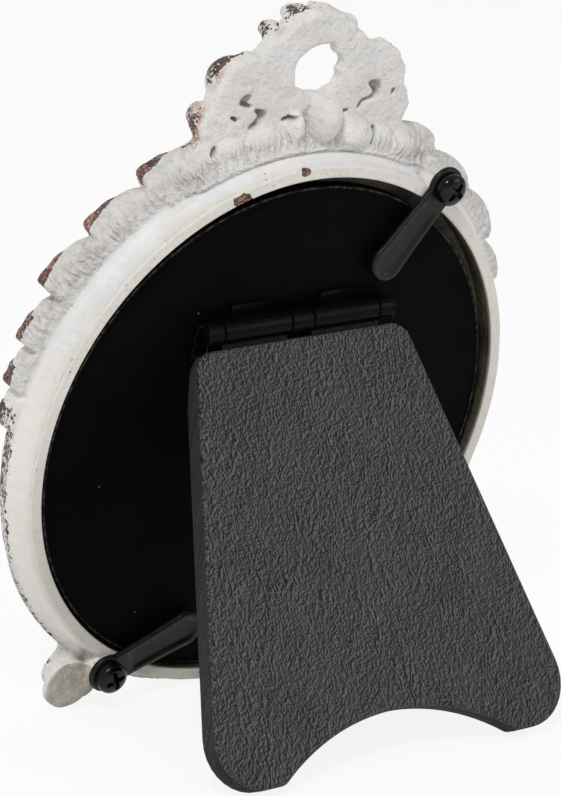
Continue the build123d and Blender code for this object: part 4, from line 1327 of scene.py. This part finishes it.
def panel_leaf():
    """Leaf on the panel: three rolled knuckles, at both ends and in the middle, over a flat sheet."""
    half = HINGE_LENGTH / 2
    seat = -PANEL_BACK + SHEET / 2
    rise = upright_sheet(seat, AXIS_HEIGHT - 3.0, AXIS_HEIGHT - 1.2, 4)
    rolled = np.concatenate([rise, curl((AXIS_BACK, AXIS_HEIGHT), 188, -92)])
    knuckles = ((-half, END_KNUCKLE - half - KNUCKLE_GAP), (-MIDDLE_KNUCKLE, MIDDLE_KNUCKLE),
                (half - END_KNUCKLE + KNUCKLE_GAP, half))
    flat = upright_sheet(seat, AXIS_HEIGHT - PANEL_LEAF_DROP + 0.1, AXIS_HEIGHT - 2.6, 6)
    return join_parts([strip(rolled, low, high) for low, high in knuckles] + [strip(flat, -half, half)])


def leg_leaf():
    """Leaf in the leg: two rolled knuckles, each with a stop tab that meets the panel when the leg is
    open, over a flat sheet."""
    half = HINGE_LENGTH / 2
    rise = upright_sheet(-LEG_LEAF_DEPTH, -4.2, -2.05, 4)
    rolled = np.concatenate([rise, curl((0, 0), 246, -58, 30)])
    tab = np.insert(upright_sheet(-TAB_DEPTH, 0.0, TAB_LENGTH, 6), 0, 0.0, axis=1)
    tab = turn_x(tab, -LEG_OPENING)[:, 1:]
    parts = []
    for low, high in ((END_KNUCKLE - half + KNUCKLE_GAP, -INNER_KNUCKLE),
                      (INNER_KNUCKLE, half - END_KNUCKLE - KNUCKLE_GAP)):
        middle = (low + high) / 2
        parts += [strip(rolled, low, high), strip(tab, middle - TAB_HALF, middle + TAB_HALF, 0.3)]
    flat = upright_sheet(-LEG_LEAF_DEPTH, -LEG_LEAF_DROP, -3.0, 8)
    return join_parts(parts + [strip(flat, -LEG_LEAF_HALF, LEG_LEAF_HALF)])


def hinge_wire():
    """Pin: a wire along x, both ends rounded by a quarter circle."""
    a = np.linspace(0, np.pi / 2, 6)
    reach = HINGE_LENGTH / 2 - 0.8
    end = np.stack([PIN_RADIUS - 0.3 + 0.3 * np.sin(a), reach - 0.3 + 0.3 * np.cos(a)], 1)
    profile = np.concatenate([[[0, reach]], end, end[::-1] * (1, -1), [[0, -reach]]])
    points, faces = lathe(profile, 40, "x")
    return points + (0, AXIS_BACK, AXIS_HEIGHT), faces


def domed_head(seat, length, segments=32):
    """Rivet: a low domed head over its shank, turned about y."""
    a = np.linspace(0, np.pi / 2, 8)
    dome = np.stack([RIVET_HEAD * np.sin(a), seat + RIVET_RISE * np.cos(a)], 1)
    under, end = seat - 0.02, seat - length
    shank = [[RIVET_HEAD - 0.1, under], [RIVET_SHANK, under], [RIVET_SHANK, end + 0.1],
             [RIVET_SHANK - 0.1, end], [0, end]]
    return lathe(np.concatenate([dome, shank]), segments)


def rivet_pair(seat, length, apart, height):
    """Two rivets, each apart from the middle along x, at a height."""
    points, faces = domed_head(seat, length)
    return join_parts([(points + (side * apart, 0, height), faces) for side in (-1, 1)])


class PHOTOFRAME_OT_hinge(Operator):
    """Builds the rolled hinge: two leaves with curled knuckles, the pin and the rivets"""
    bl_idname = "photo_frame.hinge"
    bl_label = "Hinge"

    def execute(self, context):
        enamel = gloss_black(context.scene.photo_frame_black, "hinge_enamel", 0.12, 0.05)
        steel = wire_steel()

        points, faces = panel_leaf()
        leaf = make_piece("hinge_leaf_fixed", stand(points), faces, "frame", enamel)
        soften(turn_right(leaf), 42)
        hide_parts("hinge_panel_leaf")

        points, faces = leg_leaf()
        leaf = make_piece("hinge_leaf_moving", hang(points), faces, "leg", enamel)
        soften(turn_right(leaf), 42)
        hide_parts("hinge_leg_leaf")

        points, faces = hinge_wire()
        pin = make_piece("hinge_wire", stand(points), faces, "frame", steel)
        soften(turn_right(pin))
        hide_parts("hinge_pin")

        points, faces = rivet_pair(SHEET - PANEL_BACK, 3.0, PANEL_RIVET_APART, AXIS_HEIGHT - PANEL_RIVET_DROP)
        rivets = make_piece("rivets_fixed", stand(points), faces, "frame", enamel)
        soften(turn_right(rivets))
        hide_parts("panel_rivets")

        points, faces = rivet_pair(-SHEET, 2.3, LEG_RIVET_APART, -LEG_RIVET_DROP)
        rivets = make_piece("rivets_moving", hang(points), faces, "leg", steel)
        soften(turn_right(rivets))
        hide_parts("leg_rivets")
        return {"FINISHED"}


def leg_outline():
    """Outline of the leg, counter-clockwise: flared sides, round feet and an arch of one radius between
    them."""
    length = (HINGE[2] / MM - LEG_INNER * math.sin(LEG_SWING)) / math.cos(LEG_SWING)
    foot = LEG_TOP_HALF + LEG_FLARE * (length - LEG_TOP_DROP)
    reach = math.asin(ARCH_HALF / ARCH_RADIUS)
    t = np.linspace(reach, -reach, 40)
    drop = ARCH_RADIUS * math.cos(reach)
    arch = np.stack([ARCH_RADIUS * np.sin(t), -length - drop + ARCH_RADIUS * np.cos(t)], 1)
    corners = [(LEG_TOP_HALF, -LEG_TOP_DROP), (-LEG_TOP_HALF, -LEG_TOP_DROP), (-foot, -length)]
    corners += [tuple(p) for p in arch[::-1]] + [(foot, -length)]
    radii = [LEG_TOP_ROUND, LEG_TOP_ROUND, LEG_FOOT_ROUND, ARCH_ROUND]
    radii += [0] * (len(arch) - 2) + [ARCH_ROUND, LEG_FOOT_ROUND]
    return even_outline(rounded_outline(corners, radii), 0.6)


def heel_cut(points):
    """Lifts what lies behind the heel's plane up to it. The plane leans by HEEL_LEAN from the leg and passes
    HEEL_DEPTH inside the hinge axis, so that the folded leg clears the riveted leaf."""
    plane = (-HEEL_DEPTH + points[:, 2] * math.sin(HEEL_LEAN)) / math.cos(HEEL_LEAN)
    points[:, 1] = np.maximum(points[:, 1], np.minimum(plane, -0.5))
    return points


# Moulded edges of the leg's facing and board: how far each ring is set in, and its depth
FACING_EDGE = ((1.5, 0.5), (0.75, 0.5), (0.42, 0.46), (0.18, 0.34), (0.04, 0.16), (0.0, -0.05), (0.02, -0.35),
               (0.10, -0.5))
BOARD_EDGE = ((0.16, -0.5), (0.06, -0.62), (0.10, -1.4), (0.02, -2.4), (0.08, -3.3), (0.12, -4.0),
              (0.4, -LEG_INNER), (1.1, -LEG_INNER))


class PHOTOFRAME_OT_leg(Operator):
    """Builds the leg: a board with a bevelled heel and a grained facing with a soft edge"""
    bl_idname = "photo_frame.leg"
    bl_label = "Leg"

    def execute(self, context):
        settings = context.scene.photo_frame_leg
        outline = leg_outline()
        points, faces = slab(outline, FACING_EDGE)
        piece = make_piece("leg_face", hang(points), faces, "leg", fibre_face(settings))
        soften(turn_right(piece), 50)
        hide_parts("leg_facing")
        points, faces = slab(outline, BOARD_EDGE)
        points = heel_cut(points)
        piece = make_piece("leg_board", hang(points), faces, "leg", felted_board(settings))
        soften(turn_right(piece), 50)
        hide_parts("leg_core")
        return {"FINISHED"}


def clip_outline(count=480):
    """Outline of the clip: an eye, a neck and an arm that widens to a round tip."""
    xs = np.linspace(-CLIP_EYE, CLIP_ARM + CLIP_EYE, count)
    eye = np.sqrt(np.clip(CLIP_EYE ** 2 - xs ** 2, 0, None))
    tip = np.sqrt(np.clip(CLIP_EYE ** 2 - (xs - CLIP_ARM) ** 2, 0, None))
    bar = CLIP_NECK + CLIP_WIDENING * np.clip(xs / CLIP_ARM, 0, 1) ** 1.3
    bar = np.where((xs > 0) & (xs < CLIP_ARM), bar, 0)
    upper = np.stack([xs, np.maximum(np.maximum(eye, tip), bar)], 1)
    return np.concatenate([upper[::-1], upper[1:-1] * (1, -1)])


# Rings of the turn clip: share of the way from the middle line to the outline, and height
CLIP_RINGS = (
    (0.001, CLIP_UNDER), (0.9, CLIP_UNDER), (1.0, CLIP_UNDER), (1.0, 0.52), (0.985, 0.84), (0.95, 1.01),
    (0.88, 1.12), (0.80, 1.16), (0.72, 1.13), (0.64, 0.98), (0.56, 0.72), (0.50, 0.60), (0.42, 0.57),
    (0.2, 0.56), (0.001, 0.56),
)


def clip_skin():
    """Turn clip: a ring's point lies a share of the way from the middle line to the outline. The rings
    run from the flat underside over a raised border to a sunken face, which stays level with the border
    round the eye."""
    outline = even_outline(clip_outline(), 0.45)
    spine = np.stack([np.clip(outline[:, 0], 0.0, CLIP_ARM), np.zeros(len(outline))], 1)
    eye = smoothstep(6.5, 4.2, outline[:, 0])
    rings = []
    for share, height in CLIP_RINGS:
        flat = spine + (outline - spine) * share
        inside = share < 0.9 and height > CLIP_UNDER
        tall = height + (max(height, CLIP_EYE_TOP) - height) * eye * inside
        rings.append(np.stack([flat[:, 0], tall, flat[:, 1]], 1))
    return np.concatenate(rings), grid_faces(len(rings), len(outline), closed_columns=True).tolist()


def cross_head(segments=128):
    """Pan head on a polar grid: the height over radius and angle is a rounded dome, less a cross recess
    whose four tapered arms sink towards the middle. Below it, rings (radius, y) go down the rim and the
    shank."""
    radii = np.concatenate([np.linspace(0.02, 2.2, 26), [2.45, 2.65, 2.82, 2.93, 2.98, SCREW_HEAD]])
    t = np.linspace(0, 2 * np.pi, segments, endpoint=False)
    r, a = np.meshgrid(radii, t, indexing="ij")
    x, z = r * np.cos(a), r * np.sin(a)
    dome = 1.2 + 1.4 * np.sqrt(np.clip(1 - (r / 3.05) ** 2.6, 0, 1))
    u, v = np.maximum(np.abs(x), np.abs(z)), np.minimum(np.abs(x), np.abs(z))
    width = 0.34 + 0.10 * np.clip(1 - u / 1.8, 0, 1)
    arm = smoothstep(width + 0.10, width - 0.06, v) * smoothstep(1.95, 1.70, u)
    core = smoothstep(0.95, 0.55, np.hypot(x, z))
    height = dome - RECESS_DEPTH * np.maximum(arm * (0.72 + 0.28 * smoothstep(1.8, 0.6, u)), core)
    rings = [np.stack([x, height, z], -1).reshape(-1, 3)]
    below = ((SCREW_HEAD, 0.9), (SCREW_HEAD, 0.3), (2.9, 0.0), (SCREW_SHANK, 0.0), (SCREW_SHANK, -7.2))
    rings += [circle(radius, y, t) for radius, y in below]
    points = np.concatenate(rings + [[[0, height[0, 0], 0], [0, -SCREW_LENGTH, 0]]])
    return points, capped_grid(len(radii) + len(below), segments)


def on_screw(points, which):
    """Puts a piece made at the origin, its arm along +x, on one of the two screws, turned about it."""
    turn, place = math.radians(CLIP_TURNS[which]), math.radians(SCREW_ANGLES[which])
    x, y, z = points.T
    c, s = math.cos(turn), math.sin(turn)
    middle = SCREW_CIRCLE * np.array([math.cos(place), 0, math.sin(place)])
    return np.stack([x * c - z * s, y, x * s + z * c], 1) + middle


class PHOTOFRAME_OT_clips(Operator):
    """Builds the two turn clips and their cross-head screws"""
    bl_idname = "photo_frame.clips"
    bl_label = "Turn clips and screws"

    def execute(self, context):
        settings = context.scene.photo_frame_black
        coat = pressed_black(settings)
        enamel = gloss_black(settings, "screw_enamel", 0.4, 0.25)
        for which in ("upper", "lower"):
            body = which + "_clip"
            points, faces = clip_skin()
            clip = make_piece(body, stand(on_screw(points, which)), faces, body, coat)
            soften(turn_right(clip), 50)
            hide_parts(which + "_turn_clip")
            points, faces = cross_head()
            places = stand(on_screw(points + (0, SCREW_SEAT, 0), which))
            screw = make_piece(which + "_cross_screw", places, faces, "frame", enamel)
            soften(turn_right(screw), 50)
            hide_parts(which + "_screw")
        return {"FINISHED"}


def white_floor(scene, reach=4.0):
    """Square floor, reach metres to each side, in pale paint that is seen brighter than it lights the
    frame: it glows only towards the camera and in reflections."""
    mesh = bpy.data.meshes.new("floor")
    corners = [(-reach, -reach, 0), (reach, -reach, 0), (reach, reach, 0), (-reach, reach, 0)]
    mesh.from_pydata(corners, [], [(0, 1, 2, 3)])
    floor = bpy.data.objects.new("floor", mesh)
    scene.collection.objects.link(floor)
    g = Graph("floor_white")
    g.finish(FLOOR_PAINT, 0.9)
    rays = g.add("LightPath").outputs
    seen = g.math("MAXIMUM", rays["Is Camera Ray"], rays["Is Glossy Ray"])
    glow = g.fill(g.add("Emission"), {"Color": WHITE, "Strength": 1.0})
    sources = {0: g.times(seen, FLOOR_GLOW), 1: g.shader.outputs[0], 2: glow.outputs[0]}
    blend = g.fill(g.add("MixShader"), sources)
    g.link(blend.outputs[0], g.tree.nodes["Material Output"], "Surface")
    mesh.materials.append(g.material)
    return floor


def white_world(scene, strength):
    """White surroundings: at the given strength as light on the frame, and at 1 where the camera sees
    them."""
    world = bpy.data.worlds.new("studio")
    scene.world = world
    world.use_nodes = True
    tree = world.node_tree
    sky = tree.nodes["Background"]
    sky.inputs["Color"].default_value = WHITE
    rays = tree.nodes.new("ShaderNodeLightPath")
    level = tree.nodes.new("ShaderNodeMapRange")
    level.inputs["To Min"].default_value = strength
    level.inputs["To Max"].default_value = 1.0
    tree.links.new(rays.outputs["Is Camera Ray"], level.inputs["Value"])
    tree.links.new(level.outputs["Result"], sky.inputs["Strength"])


def disc_lamp(scene, name, place, size, power):
    """Round lamp that points at the frame's middle."""
    lamp = bpy.data.lights.new(name, "AREA")
    lamp.shape = "DISK"
    lamp.size = size
    lamp.energy = power
    item = bpy.data.objects.new(name, lamp)
    scene.collection.objects.link(item)
    item.location = place
    item.rotation_euler = (Vector(LAMP_AIM) - Vector(place)).to_track_quat("-Z", "Y").to_euler()


def photo_camera(scene, settings):
    """The camera as it was solved from the photograph."""
    view = bpy.data.cameras.new("photo_view")
    view.sensor_fit = "VERTICAL"
    view.sensor_height = 24.0
    view.lens = settings.lens
    view.clip_start = 0.01
    view.clip_end = 50.0
    camera = bpy.data.objects.new("photo_view", view)
    scene.collection.objects.link(camera)
    camera.location = settings.camera_place
    camera.rotation_euler = Euler(settings.camera_turn, "XYZ")
    scene.camera = camera


class PHOTOFRAME_OT_stage(Operator):
    """Sets up the pale floor, the soft lamps and the camera"""
    bl_idname = "photo_frame.stage"
    bl_label = "Stage"

    def execute(self, context):
        settings = context.scene.photo_frame_stage
        scene = context.scene
        scene.view_settings.view_transform = "Standard"
        floor = white_floor(scene)
        white_world(scene, settings.sky)
        disc_lamp(scene, "key", KEY_PLACE, 0.24, settings.key)
        disc_lamp(scene, "fill", FILL_PLACE, 0.6, settings.fill)
        disc_lamp(scene, "front", FRONT_PLACE, 0.4, settings.fill * FRONT_SHARE)
        photo_camera(scene, settings)
        return {"FINISHED"}


# Settings

def colour_choice(name, description, default):
    """A colour setting."""
    return FloatVectorProperty(name=name, description=description, subtype="COLOR", default=default)


class PhotoFrameCasting(PropertyGroup):
    """Colours of the casting"""
    paint: colour_choice("Paint", "Off-white paint", (0.80, 0.795, 0.785))
    paint_shade: colour_choice("Paint shade", "Thinner paint", (0.70, 0.695, 0.685))
    rim_cream: colour_choice("Rim", "Yellowed paint of the rear rim", (0.74, 0.69, 0.62))
    warm: colour_choice("Warm paint", "Beige tone of the cast relief", (0.735, 0.685, 0.635))
    # Dust: dust on the relief, and also the painted shade in the hollows and flute valleys
    dust_and_shade: colour_choice("Dust", "Dust in the hollows", (0.42, 0.40, 0.38))
    cool: colour_choice("Cool paint", "Bluish thin paint", (0.715, 0.73, 0.745))
    bare: colour_choice("Bare feet", "Rubbed flat faces of the feet", (0.43, 0.39, 0.335))
    blush: colour_choice("Blush", "Copper tone on rubbed lobes", (0.40, 0.215, 0.135))
    ivory: colour_choice("Ivory", "Yellowed paint low on the collar", (0.86, 0.82, 0.755))
    speck: colour_choice("Specks", "Small bare specks", (0.16, 0.12, 0.10))
    brown: colour_choice("Brown", "Ground under the paint", (0.10, 0.045, 0.03))
    copper: colour_choice("Copper", "Bright worn spots", (0.36, 0.16, 0.09))
    dark: colour_choice("Dark", "Darkest worn spots", (0.025, 0.015, 0.012))


class PhotoFrameBlack(PropertyGroup):
    """Colours of the black parts"""
    panel: colour_choice("Panel", "Back panel", (0.0017, 0.0017, 0.0018))
    # Panel edge: colour of the painted highlight line round the panel's bevel
    rubbed: colour_choice("Panel edge", "Rubbed line round the panel", (0.075, 0.074, 0.072))
    coat: colour_choice("Clips", "Satin coat of the clips", (0.0032, 0.0032, 0.0034))
    enamel: colour_choice("Enamel", "Gloss enamel of hinge and screws", (0.0018, 0.0018, 0.0019))


class PhotoFrameLeg(PropertyGroup):
    """Colours of the leg"""
    face: colour_choice("Face", "Fibre facing", (0.046, 0.0445, 0.045))
    # Face shade: darker fibres, and the base of the painted shade on the facing's wrinkles
    face_dark: colour_choice("Face shade", "Darker fibres", (0.034, 0.0328, 0.033))
    # Flecks: paler fibres of the board, and the painted highlight on the lit side of the facing's wrinkles
    fleck_and_highlight: colour_choice("Flecks", "Paler fibres", (0.112, 0.108, 0.109))
    board: colour_choice("Board", "Cut edge of the board", (0.022, 0.0215, 0.023))


class PhotoFramePaper(PropertyGroup):
    """Colours of the picture card"""
    paper: colour_choice("Paper", "Blank picture card", (0.80, 0.77, 0.71))
    paper_edge: colour_choice("Paper edge", "Toned edge of the card", (0.66, 0.62, 0.55))
    rule: colour_choice("Rule", "Thin ruled ring", (0.42, 0.34, 0.26))


class PhotoFrameStage(PropertyGroup):
    """Camera and lamps"""
    camera_place: FloatVectorProperty(
        name="Camera place", description="Where the camera stands", subtype="TRANSLATION", unit="LENGTH",
        default=(0.446217, 0.571225, 0.270638))
    camera_turn: FloatVectorProperty(
        name="Camera turn", description="How the camera is turned", subtype="EULER",
        default=tuple(math.radians(a) for a in (73.79208, -2.31248, 143.09716)))
    lens: FloatProperty(
        name="Lens", description="Focal length for a 24 mm high sensor", unit="CAMERA", default=126.6334)
    key: FloatProperty(name="Key lamp", description="Power of the main lamp", unit="POWER", default=5.3)
    fill: FloatProperty(name="Fill lamps", description="Power of the fill lamps", unit="POWER", default=1.6)
    sky: FloatProperty(name="Sky", description="Strength of the white surroundings", default=0.45, min=0.0)


class PHOTOFRAME_PT_sidebar(Panel):
    """Lists the steps that build the frame, and their settings"""
    bl_idname = "PHOTOFRAME_PT_sidebar"
    bl_label = "Photo Frame"
    bl_space_type = "VIEW_3D"
    bl_region_type = "UI"
    bl_category = "Photo Frame"

    def draw(self, context):
        for step in STEPS:
            self.layout.operator("photo_frame." + step)
        for name in SETTINGS:
            group = getattr(context.scene, "photo_frame_" + name)
            box = self.layout.box()
            for key in group.__annotations__:
                box.prop(group, key)


STEPS = ("casting", "stack", "hinge", "leg", "clips", "stage")
SETTINGS = {"casting": PhotoFrameCasting, "black": PhotoFrameBlack, "leg": PhotoFrameLeg,
            "paper": PhotoFramePaper, "stage": PhotoFrameStage}
CLASSES = (*SETTINGS.values(), PHOTOFRAME_OT_casting, PHOTOFRAME_OT_stack, PHOTOFRAME_OT_hinge,
           PHOTOFRAME_OT_leg, PHOTOFRAME_OT_clips, PHOTOFRAME_OT_stage, PHOTOFRAME_PT_sidebar)


def register():
    """Registers the classes and puts their settings on the scene."""
    for item in CLASSES:
        bpy.utils.register_class(item)
    for name, group in SETTINGS.items():
        setattr(bpy.types.Scene, "photo_frame_" + name, PointerProperty(type=group))


def unregister():
    """Takes the settings and the classes away again."""
    for name in SETTINGS:
        delattr(bpy.types.Scene, "photo_frame_" + name)
    for item in reversed(CLASSES):
        bpy.utils.unregister_class(item)


def main():
    """Registers the add-on and builds everything in order."""
    register()
    for step in STEPS:
        getattr(bpy.ops.photo_frame, step)()


if __name__ == "__main__":
    main()
